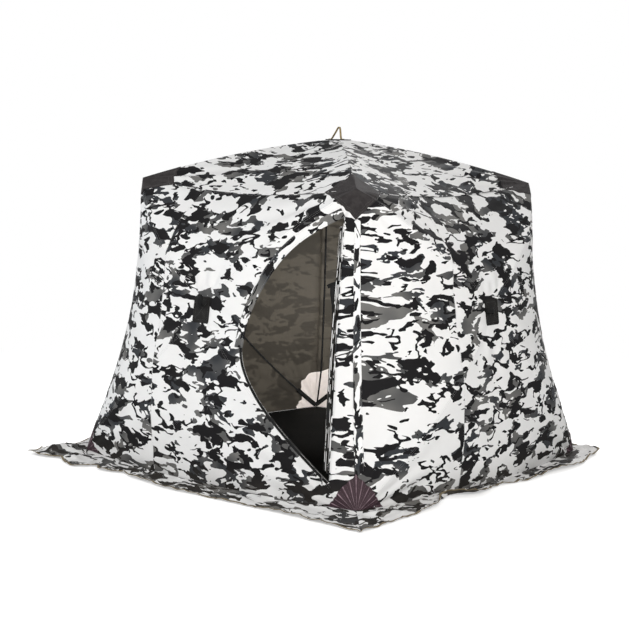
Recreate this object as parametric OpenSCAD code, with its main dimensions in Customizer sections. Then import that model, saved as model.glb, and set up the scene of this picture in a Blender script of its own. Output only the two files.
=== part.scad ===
// Pop-up ice fishing hut: a square fabric shelter held open by five crosses of springy poles.
// Origin at the middle of the base on the ground, +Z up, door wall towards -Y. Millimetres.

/* [Shelter] */
// Side of the square between the four bottom corners
base_w = 2000; // [1600:10:2600]
// Side of the square between the four top corners
eave_w = 1548; // [1200:2:2000]
// Height of the top corners above the ground
eave_h = 1564; // [1250:2:1950]
// Height of the peak of the roof above the ground
peak_h = 1793; // [1450:1:2300]

/* [Fabric] */
// Thickness of the wall and roof panels
cloth_t = 5; // [3:0.5:8]
// Inward bow of the upright corner edges, along the diagonal
corner_bow = 85; // [20:1:110]
// Sag of the eaves at their middle
eave_sag = 60; // [10:1:90]
// Inward pull of the eaves at their middle
eave_pull = 40; // [5:1:60]
// Outward bow of the bottom edges at their middle
hem_bow = 120; // [40:1:150]
// Thickness of the floor sheet
floor_t = 3; // [2:0.5:6]
// Thickness of the snow skirt
skirt_t = 4; // [2:0.5:8]
// Width of the snow skirt, measured square to the wall at a bottom corner
skirt_w = 250; // [150:5:350]
// Depth of the waves in the skirt's outer edge
skirt_wave = 12; // [2:1:25]

/* [Poles and hubs] */
// Height of the wall hubs above the ground
hub_h = 914; // [750:1:1050]
// How far a wall hub stands out from the flat plane of its wall
hub_out = 205; // [150:1:240]
// Diameter of the poles
pole_d = 11; // [8:0.5:14]
// Outward bow of the wall poles
wall_pole_bow = 85; // [60:1:110]
// Upward bow of the roof poles
roof_pole_bow = 25; // [10:1:50]
// Diameter of the round body of a hub
hub_d = 80; // [60:1:84]
// Thickness of the round body of a hub
hub_t = 20; // [16:1:30]
// Outer diameter of a hub's pole sockets
socket_d = 18; // [16:0.5:22]
// Length of pole that sits in a socket
socket_grip = 45; // [30:1:60]

/* [Patches and trim] */
// Width of the reinforcement plate over a wall hub
plate_w = 88; // [86:1:120]
// Height of the reinforcement plate over a wall hub
plate_h = 134; // [100:1:160]
// Side of the square plate over the roof hub
peak_plate = 96; // [90:1:140]
// Thickness of the sewn patches
patch_t = 1.6; // [1:0.1:3]
// Reach of a bottom corner patch along the hem
low_patch_side = 160; // [120:5:240]
// Reach of a bottom corner patch up the corner edge
low_patch_up = 175; // [120:5:300]
// Reach of a bottom corner patch along the poles
low_patch_pole = 145; // [100:5:240]
// Reach of a top corner patch along the eave
top_patch_side = 190; // [100:5:240]
// Reach of a top corner patch down the corner edge
top_patch_down = 150; // [100:5:240]
// Reach of a top corner patch along the wall poles
top_patch_pole = 135; // [80:5:200]
// Reach of a top corner patch up the roof
top_patch_roof = 230; // [100:5:260]
// Length of the sleeves over the pole ends
sleeve_l = 170; // [100:5:240]
// Wall of the sleeves over the pole ends
sleeve_wall = 3; // [1.5:0.5:4]
// Width of the webbing straps
strap_w = 25; // [15:1:40]
// Thickness of the webbing straps
strap_t = 2.5; // [1.5:0.5:4]

/* [Doorway] */
// Distance between the lower right pole and the lower edge of the doorway
door_low_gap = 20; // [18:1:80]
// Share of the way from hub to corner edge at which the doorway begins
door_near = 0.295; // [0.25:0.005:0.45]
// Share of the way from hub to corner edge of the doorway's straight side at mid height
door_far = 0.9; // [0.85:0.005:0.92]
// How much that share grows towards the top and shrinks towards the bottom
door_far_slant = 0.045; // [0:0.005:0.05]
// Height of the doorway's round end, from -1 at the lower pole to 1 at the upper pole
door_mid = -0.45; // [-0.6:0.01:0.2]
// Height of the doorway's upper edge, on the same scale
door_top = 0.86; // [0.7:0.01:0.9]
// Width of the zip tape around the doorway
zip_w = 14; // [10:1:16]
// Thickness of the gathered door flap
flap_t = 24; // [14:1:40]
// Width of the gathered door flap at its top
flap_w_top = 42; // [30:1:70]
// Width of the gathered door flap at its bottom
flap_w_low = 78; // [40:1:110]
// How far the gathered door flap shows past the straight side
flap_show = 18; // [5:1:30]

/* [Clearances] */
// Gap between a sewn-on piece and the fabric under it
sewn_gap = 0.6; // [0.4:0.1:1]
// Gap between a hard piece and what it seats on
seat_gap = 0.3; // [0.2:0.1:0.5]

/* [Hidden] */

FRONT = 0;
RIGHT = 90;
BACK = 180;
LEFT = 270;
SIDES = [FRONT, RIGHT, BACK, LEFT];

// Facets of the fabric: columns along a panel's edge, rows from hub to edge
columns = 12;
rows = 8;
// Facets of a pole's bend and of its section
bend_fn = 1080;
pole_fn = 48;

lean = atan((base_w - eave_w) / 2 / eave_h);
hub_y = base_w / 2 - hub_h * tan(lean) + hub_out;
out = [0, -1, 0];
up = [0, 0, 1];
// Depth of the poles' centre line behind the outer face of the fabric: at the hub, and deeper at
// the corners, where the fabric folds more sharply over the sleeves
pole_seat = cloth_t + max(socket_d / 2, pole_d / 2 + sleeve_wall) + 3 * sewn_gap;
low_end_seat = pole_seat + 8;
top_end_seat = pole_seat + 19;
roof_seat = pole_seat + 5;
// How far from a hub's centre its poles start
wall_pole_start = norm([plate_w, plate_h]) / 2;
roof_pole_start = peak_plate / sqrt(2);
// Length of pole end left short of the corner
pole_stop = 52;
// The skirt keeps clear of the patches on the foot of the wall, which leans out over it
skirt_gap = sewn_gap + patch_t + 0.3 * skirt_t + seat_gap;

function mix(a, b, t) = a + (b - a) * t;
function swell(s) = 1 - s * s;
function unit(v) = v / norm(v);
// The same place on the next wall, across the front right corner
function across(p) = [-p.y, -p.x, p.z];

// Bent pole line from p to q: a circular arc that bows towards the direction v
function bow_side(p, q, v) = let (e = unit(q - p)) unit(v - (v * e) * e);
function bow_radius(p, q, bow) = let (c = norm(q - p)) c * c / (8 * bow) + bow / 2;
function arc_point(p, q, v, bow, r) =
    let (c = norm(q - p), radius = bow_radius(p, q, bow), x = c * (r - 0.5))
    mix(p, q, r) + bow_side(p, q, v) * (sqrt(radius * radius - x * x) - radius + bow);

// Corners of the front wall, a depth i behind its outer face; side is -1 at the left, 1 at the right
function low_corner(i, side) = [side * (base_w / 2 - i), i - base_w / 2, 0];
function top_corner(i, side) = [side * (eave_w / 2 - i), i - eave_w / 2, eave_h - i];
function plate_corner(i, side, level) =
    let (w = level * plate_h / 2)
    [side * plate_w / 2, i - hub_y + w * sin(lean), hub_h + w * cos(lean)];
function peak_corner(i, side) = [side * peak_plate / 2, -peak_plate / 2, peak_h - i];

// Edges of the panels, with s from -1 to 1
function corner_edge(i, side, s) =
    let (t = (1 + s) / 2, p = mix(low_corner(i, side), top_corner(i, side), t))
    p + [-side, 1, 0] * corner_bow * pow(swell(s), 1.4) / sqrt(2);
function hem_edge(i, s) = [s * (base_w / 2 - i), i - base_w / 2 - hem_bow * swell(s), 0];
function eave_edge(i, s) =
    [s * (eave_w / 2 - i), i - eave_w / 2 + eave_pull * swell(s), eave_h - i - eave_sag * swell(s)];

// A place on a triangular panel: r runs from the plate at 0 to the edge at 1, s along the edge
function panel_point(p0, p1, c0, c1, v, bow, edge, r, s) =
    mix(arc_point(p0, c0, v, bow, r), arc_point(p1, c1, v, bow, r), (1 + s) / 2)
    + (edge - mix(c0, c1, (1 + s) / 2)) * r * r;

function on_bottom(i, r, s) =
    panel_point(plate_corner(i, -1, -1), plate_corner(i, 1, -1), low_corner(i, -1), low_corner(i, 1),
        out, wall_pole_bow, hem_edge(i, s), r, s);
function on_side(i, side, r, s) =
    panel_point(plate_corner(i, side, -1), plate_corner(i, side, 1), low_corner(i, side),
        top_corner(i, side), out, wall_pole_bow, corner_edge(i, side, s), r, s);
function on_top(i, r, s) =
    panel_point(plate_corner(i, -1, 1), plate_corner(i, 1, 1), top_corner(i, -1), top_corner(i, 1),
        out, wall_pole_bow, eave_edge(i, s), r, s);
function on_roof(i, r, s) =
    panel_point(peak_corner(i, -1), peak_corner(i, 1), top_corner(i, -1), top_corner(i, 1),
        up, roof_pole_bow, eave_edge(i, s), r, s);

// One turn around the front wall at share r, anticlockwise as seen from outside
function wall_ring(i, r) = concat(
    [for (j = [0:columns - 1]) on_bottom(i, r, 2 * j / columns - 1)],
    [for (j = [0:columns - 1]) on_side(i, 1, r, 2 * j / columns - 1)],
    [for (j = [0:columns - 1]) on_top(i, r, 1 - 2 * j / columns)],
    [for (j = [0:columns - 1]) on_side(i, -1, r, 1 - 2 * j / columns)]);

// Closed solid between an outer and an inner grid of points with the same rows and columns.
// With ring set, the last column joins the first. With tips given as [outer, inner] points,
// the first row closes to them; otherwise it ends in a rim.
module shell(outer, inner, ring = false, tips = []) {
    nr = len(outer);
    nc = len(outer[0]);
    back = nr * nc;
    tip = 2 * back;
    last = ring ? nc - 1 : nc - 2;
    function at(i, j) = i * nc + j % nc;
    points = concat([for (row = outer) each row], [for (row = inner) each row], tips);
    skins = [for (i = [0:1:nr - 2]) for (j = [0:last]) each [
        [at(i, j), at(i + 1, j), at(i + 1, j + 1)],
        [at(i, j), at(i + 1, j + 1), at(i, j + 1)],
        [back + at(i, j), back + at(i + 1, j + 1), back + at(i + 1, j)],
        [back + at(i, j), back + at(i, j + 1), back + at(i + 1, j + 1)]]];
    far_rim = [for (j = [0:last]) each [
        [at(nr - 1, j), back + at(nr - 1, j), back + at(nr - 1, j + 1)],
        [at(nr - 1, j), back + at(nr - 1, j + 1), at(nr - 1, j + 1)]]];
    near_rim = len(tips) > 0
        ? [for (j = [0:last]) each [
            [tip, at(0, j), at(0, j + 1)],
            [tip + 1, back + at(0, j + 1), back + at(0, j)]]]
        : [for (j = [0:last]) each [
            [at(0, j), back + at(0, j + 1), back + at(0, j)],
            [at(0, j), at(0, j + 1), back + at(0, j + 1)]]];
    side_rims = ring ? [] : [for (i = [0:1:nr - 2]) each [
        [at(i, 0), back + at(i + 1, 0), at(i + 1, 0)],
        [at(i, 0), back + at(i, 0), back + at(i + 1, 0)],
        [at(i, nc - 1), at(i + 1, nc - 1), back + at(i + 1, nc - 1)],
        [at(i, nc - 1), back + at(i + 1, nc - 1), back + at(i, nc - 1)]]];
    tip_rims = ring || len(tips) == 0 ? [] : [
        [tip, back + at(0, 0), at(0, 0)],
        [tip, tip + 1, back + at(0, 0)],
        [tip, at(0, nc - 1), back + at(0, nc - 1)],
        [tip, back + at(0, nc - 1), tip + 1]];
    faces = concat(skins, far_rim, near_rim, side_rims, tip_rims);
    polyhedron(points, [for (f = faces) [f[0], f[2], f[1]]], convexity = 6);
}

steps = [for (k = [0:rows]) k / rows];
sweep_s = [for (k = [0:columns]) 2 * k / columns - 1];

module whole_wall() {
    shell([for (r = steps) wall_ring(0, r)], [for (r = steps) wall_ring(cloth_t, r)], ring = true,
        tips = [hub_centre(0), hub_centre(cloth_t)]);
}
function hub_centre(i) = [0, i - hub_y, hub_h];
function peak_centre(i) = [0, 0, peak_h - i];

// The front wall's panels have the rows of the pieces around the doorway, so that they meet them
module wall_bottom() {
    shell([for (r = front_rows(-1)) [for (s = sweep_s) on_bottom(0, r, s)]],
        [for (r = front_rows(-1)) [for (s = sweep_s) on_bottom(cloth_t, r, s)]],
        tips = [hub_centre(0), hub_centre(cloth_t)]);
}
module wall_top() {
    shell([for (r = front_rows(1)) [for (s = sweep_s) on_top(0, r, -s)]],
        [for (r = front_rows(1)) [for (s = sweep_s) on_top(cloth_t, r, -s)]],
        tips = [hub_centre(0), hub_centre(cloth_t)]);
}
function left_grid(i) =
    [for (k = [0:len(front_rows(0)) - 1]) [for (s = sweep_s) on_side(i, -1, front_rows(-s)[k], -s)]];
module wall_left() {
    shell(left_grid(0), left_grid(cloth_t), tips = [hub_centre(0), hub_centre(cloth_t)]);
}
module roof_panel() {
    shell([for (r = steps) [for (s = sweep_s) on_roof(0, r, s)]],
        [for (r = steps) [for (s = sweep_s) on_roof(cloth_t, r, s)]],
        tips = [peak_centre(0), peak_centre(cloth_t)]);
}

// The doorway lies in the right-hand panel of the front wall. Its outline is a D on its side.
// t runs along the doorway from the round end at 0 to the straight side at 1.
function door_side(s) = door_far + door_far_slant * s;
function door_share(t, s) = mix(door_near, door_side(s), t);
function panel_span(r) = norm(on_side(0, 1, r, 1) - on_side(0, 1, r, -1));
function door_upper(t) = mix(door_mid, door_top, pow(1 - pow(1 - t, 4), 0.65));
function door_lower(t) =
    let (low = 2 * door_low_gap / panel_span(door_share(t, -1)) - 1)
    mix(door_mid, low, sqrt(1 - pow(1 - t, 8)));
// Places along the doorway, closer together at the round end
door_t = [for (k = [0:14]) pow(k / 14, 2)];
near_r = [for (k = [0:3]) door_near * k / 3];
strip_w = [for (k = [0:4]) k / 4];

// Rows of the front wall at height s: up to the doorway, along it, and across the jamb
function front_rows(s) = concat(near_r, [for (t = tail(door_t)) door_share(t, s)],
    [for (w = [0.5, 1]) mix(door_side(s), 1, w)]);

function strip_point(i, t, edge, end, w) =
    let (s = mix(edge, end, w)) on_side(i, 1, door_share(t, s), s);
function over_grid(i) = concat(
    [for (r = near_r) [for (w = strip_w) on_side(i, 1, r, mix(door_mid, 1, w))]],
    [for (t = tail(door_t)) [for (w = strip_w) strip_point(i, t, door_upper(t), 1, w)]]);
function under_grid(i) = concat(
    [for (r = near_r) [for (w = strip_w) on_side(i, 1, r, mix(-1, door_mid, w))]],
    [for (t = tail(door_t)) [for (w = strip_w) strip_point(i, t, -1, door_lower(t), w)]]);
function tail(list) = [for (k = [1:len(list) - 1]) list[k]];

jamb_s = concat([for (w = strip_w) mix(-1, door_lower(1), w)],
    [for (k = [1:columns - 1]) mix(door_lower(1), door_top, k / columns)],
    [for (w = strip_w) mix(door_top, 1, w)]);
function jamb_grid(i) =
    [for (w = [0:2]) [for (s = jamb_s) on_side(i, 1, mix(door_side(s), 1, w / 2), s)]];

module over_door() {
    shell(over_grid(0), over_grid(cloth_t), tips = [hub_centre(0), hub_centre(cloth_t)]);
}
module under_door() {
    shell(under_grid(0), under_grid(cloth_t), tips = [hub_centre(0), hub_centre(cloth_t)]);
}
module jamb() {
    shell(jamb_grid(0), jamb_grid(cloth_t));
}

// Zip tape along the curved edges of the doorway, from the top of the straight side around
// the round end to the foot of the straight side
zip_path = concat(
    [for (k = [14:-1:1]) [door_share(door_t[k], door_upper(door_t[k])), door_upper(door_t[k])]],
    [for (k = [0:14]) [door_share(door_t[k], door_lower(door_t[k])), door_lower(door_t[k])]]);
panel_depth = norm(on_side(0, 1, 1, 0) - hub_centre(0));
// Step from the doorway's edge into the fabric, worked out on the panel laid flat
function into_fabric(k) =
    let (a = zip_path[max(k - 1, 0)], b = zip_path[min(k + 1, len(zip_path) - 1)],
        half = panel_span(zip_path[k][0]) / 2,
        along = unit([(b[0] - a[0]) * panel_depth, (b[1] - a[1]) * half]))
    [along[1] / panel_depth, -along[0] / half];
function zip_point(i, k, w) =
    let (q = zip_path[k] + into_fabric(k) * w) on_side(i, 1, q[0], q[1]);
function zip_grid(i) =
    [for (k = [0:len(zip_path) - 1]) [for (w = [zip_w, zip_w / 2, 1]) zip_point(i, k, w)]];

module zip_tape() {
    shell(zip_grid(-sewn_gap - patch_t), zip_grid(-sewn_gap));
}

// Door flap, gathered into a bundle behind the straight side, its edge showing in the doorway
module gathered_flap() {
    rings = 16;
    sides = 12;
    function station(k) = mix(door_lower(1) + 0.06, door_top - 0.06, k / rings);
    function ring_points(k) =
        let (s = station(k), w = mix(flap_w_low, flap_w_top, (s + 1) / 2),
            edge = on_side(cloth_t, 1, door_side(s), s),
            e = unit(on_side(cloth_t, 1, 1, s) - edge),
            along = on_side(cloth_t, 1, door_side(s + 0.05), s + 0.05) - edge,
            n = unit(cross(along, e)),
            centre = edge + e * (w / 2 - flap_show) + n * (flap_t / 2 + 2 * sewn_gap))
        [for (j = [0:sides - 1])
            centre + e * w / 2 * cos(360 * j / sides) + n * flap_t / 2 * sin(360 * j / sides)];
    points = [for (k = [0:rings]) each ring_points(k)];
    walls = [for (k = [0:rings - 1]) for (j = [0:sides - 1]) each [
        [k * sides + j, (k + 1) * sides + j, (k + 1) * sides + (j + 1) % sides],
        [k * sides + j, (k + 1) * sides + (j + 1) % sides, k * sides + (j + 1) % sides]]];
    polyhedron(points, concat(walls, [[for (j = [0:sides - 1]) j]],
        [[for (j = [sides - 1:-1:0]) rings * sides + j]]), convexity = 6);
}

// Round bar along the bent line from p to q, between two shares of its arc
module bent_bar(p, q, v, bow, from, to, d) {
    radius = bow_radius(p, q, bow);
    m = bow_side(p, q, v);
    e = unit(q - p);
    z = cross(m, e);
    centre = (p + q) / 2 - m * (radius - bow);
    turn = 2 * asin(norm(q - p) / 2 / radius);
    multmatrix([[m.x, e.x, z.x, centre.x], [m.y, e.y, z.y, centre.y], [m.z, e.z, z.z, centre.z]])
        rotate([0, 0, turn * (from - 0.5)])
            rotate_extrude(angle = turn * (to - from), $fn = bend_fn)
                translate([radius, 0])
                    circle(d = d, $fn = pole_fn);
}

// Ends of the pole lines, and the share of the line at which a pole stops short of its corner
wall_pole_ends = [for (side = [-1, 1]) for (level = [-1, 1])
    [plate_corner(pole_seat, side, level),
        level < 0 ? low_corner(0, side) + [0, low_end_seat, 0] : top_corner(0, side) + [0, top_end_seat, 0]]];
roof_pole_ends = [for (side = [-1, 1]) for (y = [-1, 1])
    [[side * peak_plate / 2, y * peak_plate / 2, peak_h - roof_seat],
        [side * eave_w / 2, y * eave_w / 2, eave_h - roof_seat]]];
function stop_share(ends) = 1 - pole_stop / norm(ends[1] - ends[0]);

module poles(ends, v, bow) {
    for (e = ends) bent_bar(e[0], e[1], v, bow, 0, stop_share(e), pole_d);
}

// Sleeve over a pole end: a snug tube with a closed tip
module sleeve(ends, v, bow) {
    length = norm(ends[1] - ends[0]);
    tip = stop_share(ends) + seat_gap / length;
    mouth = tip - sleeve_l / length;
    bore = pole_d + 2 * seat_gap;
    difference() {
        bent_bar(ends[0], ends[1], v, bow, mouth, tip + sleeve_wall / length, bore + 2 * sleeve_wall);
        bent_bar(ends[0], ends[1], v, bow, mouth - sleeve_wall / length, tip, bore);
    }
}

// Hub: a round body with four sockets, each with a bore for its pole that starts at a radius start
module hub(ends, v, bow, start, centre, face) {
    difference() {
        union() {
            translate(centre)
                rotate(face)
                    cylinder(d = hub_d, h = hub_t, $fn = 96);
            for (e = ends) socket(e, v, bow, start - 0.4 * hub_d);
        }
        for (e = ends) socket_bore(e, v, bow);
    }
}
module socket(e, v, bow, back) {
    length = norm(e[1] - e[0]);
    bent_bar(e[0], e[1], v, bow, -back / length, socket_grip / length, socket_d);
}
module socket_bore(e, v, bow) {
    length = norm(e[1] - e[0]);
    bent_bar(e[0], e[1], v, bow, -seat_gap / length, (socket_grip + seat_gap) / length,
        pole_d + 2 * seat_gap);
}
module wall_hub() {
    inset = cloth_t + seat_gap;
    n = [0, cos(lean), -sin(lean)];
    hub(wall_pole_ends, out, wall_pole_bow, wall_pole_start, hub_centre(0) + n * inset,
        [-90 - lean, 0, 0]);
}
module roof_hub_body() {
    hub(roof_pole_ends, up, roof_pole_bow, roof_pole_start, peak_centre(cloth_t + seat_gap + hub_t),
        [0, 0, 0]);
}

// Plate sewn over a hub
module wall_plate() {
    translate(hub_centre(0))
        rotate([90 - lean, 0, 0])
            translate([-plate_w / 2, -plate_h / 2, seat_gap])
                cube([plate_w, plate_h, patch_t]);
}
module peak_cover() {
    translate([-peak_plate / 2, -peak_plate / 2, peak_h + seat_gap])
        cube([peak_plate, peak_plate, patch_t]);
}

// Loop of webbing that lies in the plane of x and y, foot at the origin, width along z
module webbing_loop(length, depth) {
    linear_extrude(strap_w, center = true)
        difference() {
            loop_outline(length, depth);
            offset_outline(length, depth);
        }
}
module loop_outline(length, depth) {
    translate([-depth / 2, 0]) square([depth, length - depth / 2]);
    translate([0, length - depth / 2]) circle(d = depth, $fn = 48);
}
module offset_outline(length, depth) {
    inner = depth - 2 * strap_t;
    translate([-inner / 2, strap_t]) square([inner, length - depth / 2 - strap_t]);
    translate([0, length - depth / 2]) circle(d = inner, $fn = 48);
}

module pull_strap() {
    translate(hub_centre(0))
        rotate([90 - lean, 0, 0])
            translate([0, -plate_h / 6, 2 * seat_gap + patch_t])
                rotate([90, 0, 90])
                    webbing_loop(60, 26);
}
module peak_loop() {
    translate([0, 0, peak_h + 2 * seat_gap + patch_t])
        rotate([90, 0, 0])
            webbing_loop(72, 64);
}

// Patches that wrap a corner: rings of wall places, each ring shrunk towards the corner by f
function toward_corner(edge, f) = 1 - f * (1 - edge);
patch_rings = [0.25:0.25:1];
low_s = low_patch_side / (base_w / 2);
up_s = low_patch_up / (eave_h / 2);
low_r = 1 - low_patch_pole / norm(low_corner(0, 1) - hub_centre(0));
function half_low_patch(i, f) = concat(
    [for (k = [0:3]) let (g = k / 4) on_bottom(i, toward_corner(mix(1, low_r, g), f),
        toward_corner(mix(1 - low_s, 1, g), f))],
    [for (k = [0:4]) let (g = k / 4) on_side(i, 1, toward_corner(mix(low_r, 1, g), f),
        -toward_corner(mix(1, 1 - up_s, g), f))]);
function both_walls(half) = concat(half, [for (k = [len(half) - 2:-1:0]) across(half[k])]);
module low_patch() {
    shell([for (f = patch_rings) both_walls(half_low_patch(-sewn_gap - patch_t, f))],
        [for (f = patch_rings) both_walls(half_low_patch(-sewn_gap, f))],
        tips = [low_corner(-sewn_gap - patch_t, 1), low_corner(-sewn_gap, 1)]);
}

top_s = top_patch_side / (eave_w / 2);
down_s = top_patch_down / (eave_h / 2);
top_r = 1 - top_patch_pole / norm(top_corner(0, 1) - hub_centre(0));
roof_r = 1 - top_patch_roof / norm(top_corner(0, 1) - peak_centre(0));
function half_top_patch(i, f) = concat(
    [for (k = [0:3]) let (g = k / 4) on_side(i, 1, toward_corner(mix(1, top_r, g), f),
        toward_corner(mix(1 - down_s, 1, g), f))],
    [for (k = [0:3]) let (g = k / 4) on_top(i, toward_corner(mix(top_r, 1, g), f),
        toward_corner(mix(1, 1 - top_s, g), f))],
    [for (k = [0:4]) let (g = k / 4) on_roof(i, toward_corner(mix(1, roof_r, g), f),
        toward_corner(mix(1 - top_s, 1, g), f))]);
function around_corner(half) = concat(half, [for (k = [len(half) - 2:-1:1]) across(half[k])]);
module top_patch() {
    shell([for (f = patch_rings) reverse(around_corner(half_top_patch(-sewn_gap - patch_t, f)))],
        [for (f = patch_rings) reverse(around_corner(half_top_patch(-sewn_gap, f)))], ring = true,
        tips = [top_corner(-sewn_gap - patch_t, 1), top_corner(-sewn_gap, 1)]);
}
function reverse(list) = [for (k = [len(list) - 1:-1:0]) list[k]];

// Snow skirt on one side, mitred on the diagonals, with a wavy outer edge
module skirt() {
    half = base_w / 2 + skirt_w;
    mitre = seat_gap / 2;
    points = 48;
    waves = 5;
    inner = [for (s = sweep_s) let (p = hem_edge(-skirt_gap, s)) [p.x - s * mitre, p.y]];
    outer = [for (k = [points:-1:0]) let (s = 2 * k / points - 1)
        [s * (half - mitre), -half - skirt_wave * (1 + sin(s * waves * 180)) * swell(s)]];
    linear_extrude(skirt_t) polygon(concat(inner, outer));
}

module floor_sheet() {
    inset = cloth_t + sewn_gap;
    side = [for (s = sweep_s) hem_edge(inset, s)];
    color("black")
        linear_extrude(floor_t)
            polygon([for (a = SIDES) for (k = [0:columns - 1])
                [side[k].x * cos(a) - side[k].y * sin(a), side[k].x * sin(a) + side[k].y * cos(a)]]);
}

module on_wall(angle) {
    rotate([0, 0, angle]) children();
}

module skirt_front() { color("gainsboro") on_wall(FRONT) skirt(); }
module skirt_right() { color("gainsboro") on_wall(RIGHT) skirt(); }
module skirt_back() { color("gainsboro") on_wall(BACK) skirt(); }
module skirt_left() { color("gainsboro") on_wall(LEFT) skirt(); }

module front_wall_left() { color("whitesmoke") wall_left(); }
module front_wall_top() { color("whitesmoke") wall_top(); }
module front_wall_bottom() { color("whitesmoke") wall_bottom(); }
module front_wall_over_door() { color("whitesmoke") over_door(); }
module front_wall_under_door() { color("whitesmoke") under_door(); }
module front_wall_jamb() { color("whitesmoke") jamb(); }
module right_wall() { color("whitesmoke") on_wall(RIGHT) whole_wall(); }
module back_wall() { color("whitesmoke") on_wall(BACK) whole_wall(); }
module left_wall() { color("whitesmoke") on_wall(LEFT) whole_wall(); }

module roof_front() { color("lightgray") on_wall(FRONT) roof_panel(); }
module roof_right() { color("lightgray") on_wall(RIGHT) roof_panel(); }
module roof_back() { color("lightgray") on_wall(BACK) roof_panel(); }
module roof_left() { color("lightgray") on_wall(LEFT) roof_panel(); }

module front_wall_poles() { color("black") on_wall(FRONT) poles(wall_pole_ends, out, wall_pole_bow); }
module right_wall_poles() { color("black") on_wall(RIGHT) poles(wall_pole_ends, out, wall_pole_bow); }
module back_wall_poles() { color("black") on_wall(BACK) poles(wall_pole_ends, out, wall_pole_bow); }
module left_wall_poles() { color("black") on_wall(LEFT) poles(wall_pole_ends, out, wall_pole_bow); }
module roof_poles() { color("black") poles(roof_pole_ends, up, roof_pole_bow); }

module front_hub() { color("dimgray") on_wall(FRONT) wall_hub(); }
module right_hub() { color("dimgray") on_wall(RIGHT) wall_hub(); }
module back_hub() { color("dimgray") on_wall(BACK) wall_hub(); }
module left_hub() { color("dimgray") on_wall(LEFT) wall_hub(); }
module roof_hub() { color("dimgray") roof_hub_body(); }

module front_hub_plate() { color("black") on_wall(FRONT) wall_plate(); }
module right_hub_plate() { color("black") on_wall(RIGHT) wall_plate(); }
module back_hub_plate() { color("black") on_wall(BACK) wall_plate(); }
module left_hub_plate() { color("black") on_wall(LEFT) wall_plate(); }
module roof_hub_plate() { color("black") peak_cover(); }

module pull_straps() { color("black") for (a = SIDES) on_wall(a) pull_strap(); }
module roof_loop() { color("tan") peak_loop(); }

module upper_pole_sleeves() {
    color("black") {
        for (a = SIDES) on_wall(a)
            for (e = wall_pole_ends) if (e[1].z > hub_h) sleeve(e, out, wall_pole_bow);
        for (e = roof_pole_ends) sleeve(e, up, roof_pole_bow);
    }
}
module lower_pole_sleeves() {
    color("black")
        for (a = SIDES) on_wall(a)
            for (e = wall_pole_ends) if (e[1].z < hub_h) sleeve(e, out, wall_pole_bow);
}

module top_corner_patches() { color("dimgray") for (a = SIDES) on_wall(a) top_patch(); }
module bottom_corner_patches() { color("#5a4650") for (a = SIDES) on_wall(a) low_patch(); }

module door_zip() { color("black") zip_tape(); }
module door_flap() { color("whitesmoke") gathered_flap(); }

floor_sheet();
skirt_front();
skirt_right();
skirt_back();
skirt_left();
front_wall_left();
front_wall_top();
front_wall_bottom();
front_wall_over_door();
front_wall_under_door();
front_wall_jamb();
right_wall();
back_wall();
left_wall();
roof_front();
roof_right();
roof_back();
roof_left();
front_wall_poles();
right_wall_poles();
back_wall_poles();
left_wall_poles();
roof_poles();
front_hub();
right_hub();
back_hub();
left_hub();
roof_hub();
front_hub_plate();
right_hub_plate();
back_hub_plate();
left_hub_plate();
roof_hub_plate();
pull_straps();
roof_loop();
upper_pole_sleeves();
lower_pole_sleeves();
top_corner_patches();
bottom_corner_patches();
door_zip();
door_flap();
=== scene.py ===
"""Looks of the pop-up ice fishing hut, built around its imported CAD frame. Metres, +Z up, door wall
towards -Y. Every wall is made facing -Y and then turned about Z by its angle."""
import math

import bmesh
import bpy
import numpy as np
from mathutils import Matrix, Vector, noise
from mathutils.bvhtree import BVHTree


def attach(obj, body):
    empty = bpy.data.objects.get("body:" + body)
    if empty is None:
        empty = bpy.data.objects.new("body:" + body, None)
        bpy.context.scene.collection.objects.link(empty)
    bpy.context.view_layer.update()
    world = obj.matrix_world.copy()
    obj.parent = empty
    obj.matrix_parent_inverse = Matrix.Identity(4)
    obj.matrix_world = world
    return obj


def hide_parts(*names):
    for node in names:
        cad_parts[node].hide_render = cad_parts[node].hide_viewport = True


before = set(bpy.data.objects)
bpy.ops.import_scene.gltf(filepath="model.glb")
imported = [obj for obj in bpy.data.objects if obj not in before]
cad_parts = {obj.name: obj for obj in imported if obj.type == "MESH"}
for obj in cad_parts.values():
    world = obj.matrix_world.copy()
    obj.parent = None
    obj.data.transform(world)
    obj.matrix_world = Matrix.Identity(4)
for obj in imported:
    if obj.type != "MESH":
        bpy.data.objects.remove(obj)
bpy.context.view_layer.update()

# Driving dimensions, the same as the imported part's
BASE_W, EAVE_W, EAVE_H, PEAK_H = 2.0, 1.548, 1.564, 1.793
CORNER_BOW, EAVE_SAG, EAVE_PULL, HEM_BOW = 0.085, 0.060, 0.040, 0.120
HUB_H, HUB_OUT, PLATE_W, PLATE_H, PEAK_PLATE = 0.914, 0.205, 0.088, 0.134, 0.096
WALL_POLE_BOW, ROOF_POLE_BOW = 0.085, 0.025
POLE_SEAT, ROOF_SEAT, LOW_END_SEAT, TOP_END_SEAT = 0.0158, 0.0208, 0.0238, 0.0348
POLE_STOP, SLEEVE_L, SLEEVE_D = 0.052, 0.170, 0.0176
DOOR_NEAR, DOOR_FAR, DOOR_SLANT = 0.295, 0.9, 0.045
DOOR_MID, DOOR_TOP, DOOR_LOW_GAP = -0.45, 0.86, 0.020
FLAP_W_LOW, FLAP_W_TOP, FLAP_SHOW = 0.078, 0.042, 0.018
ZIP_W, STRAP_W = 0.014, 0.025

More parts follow.
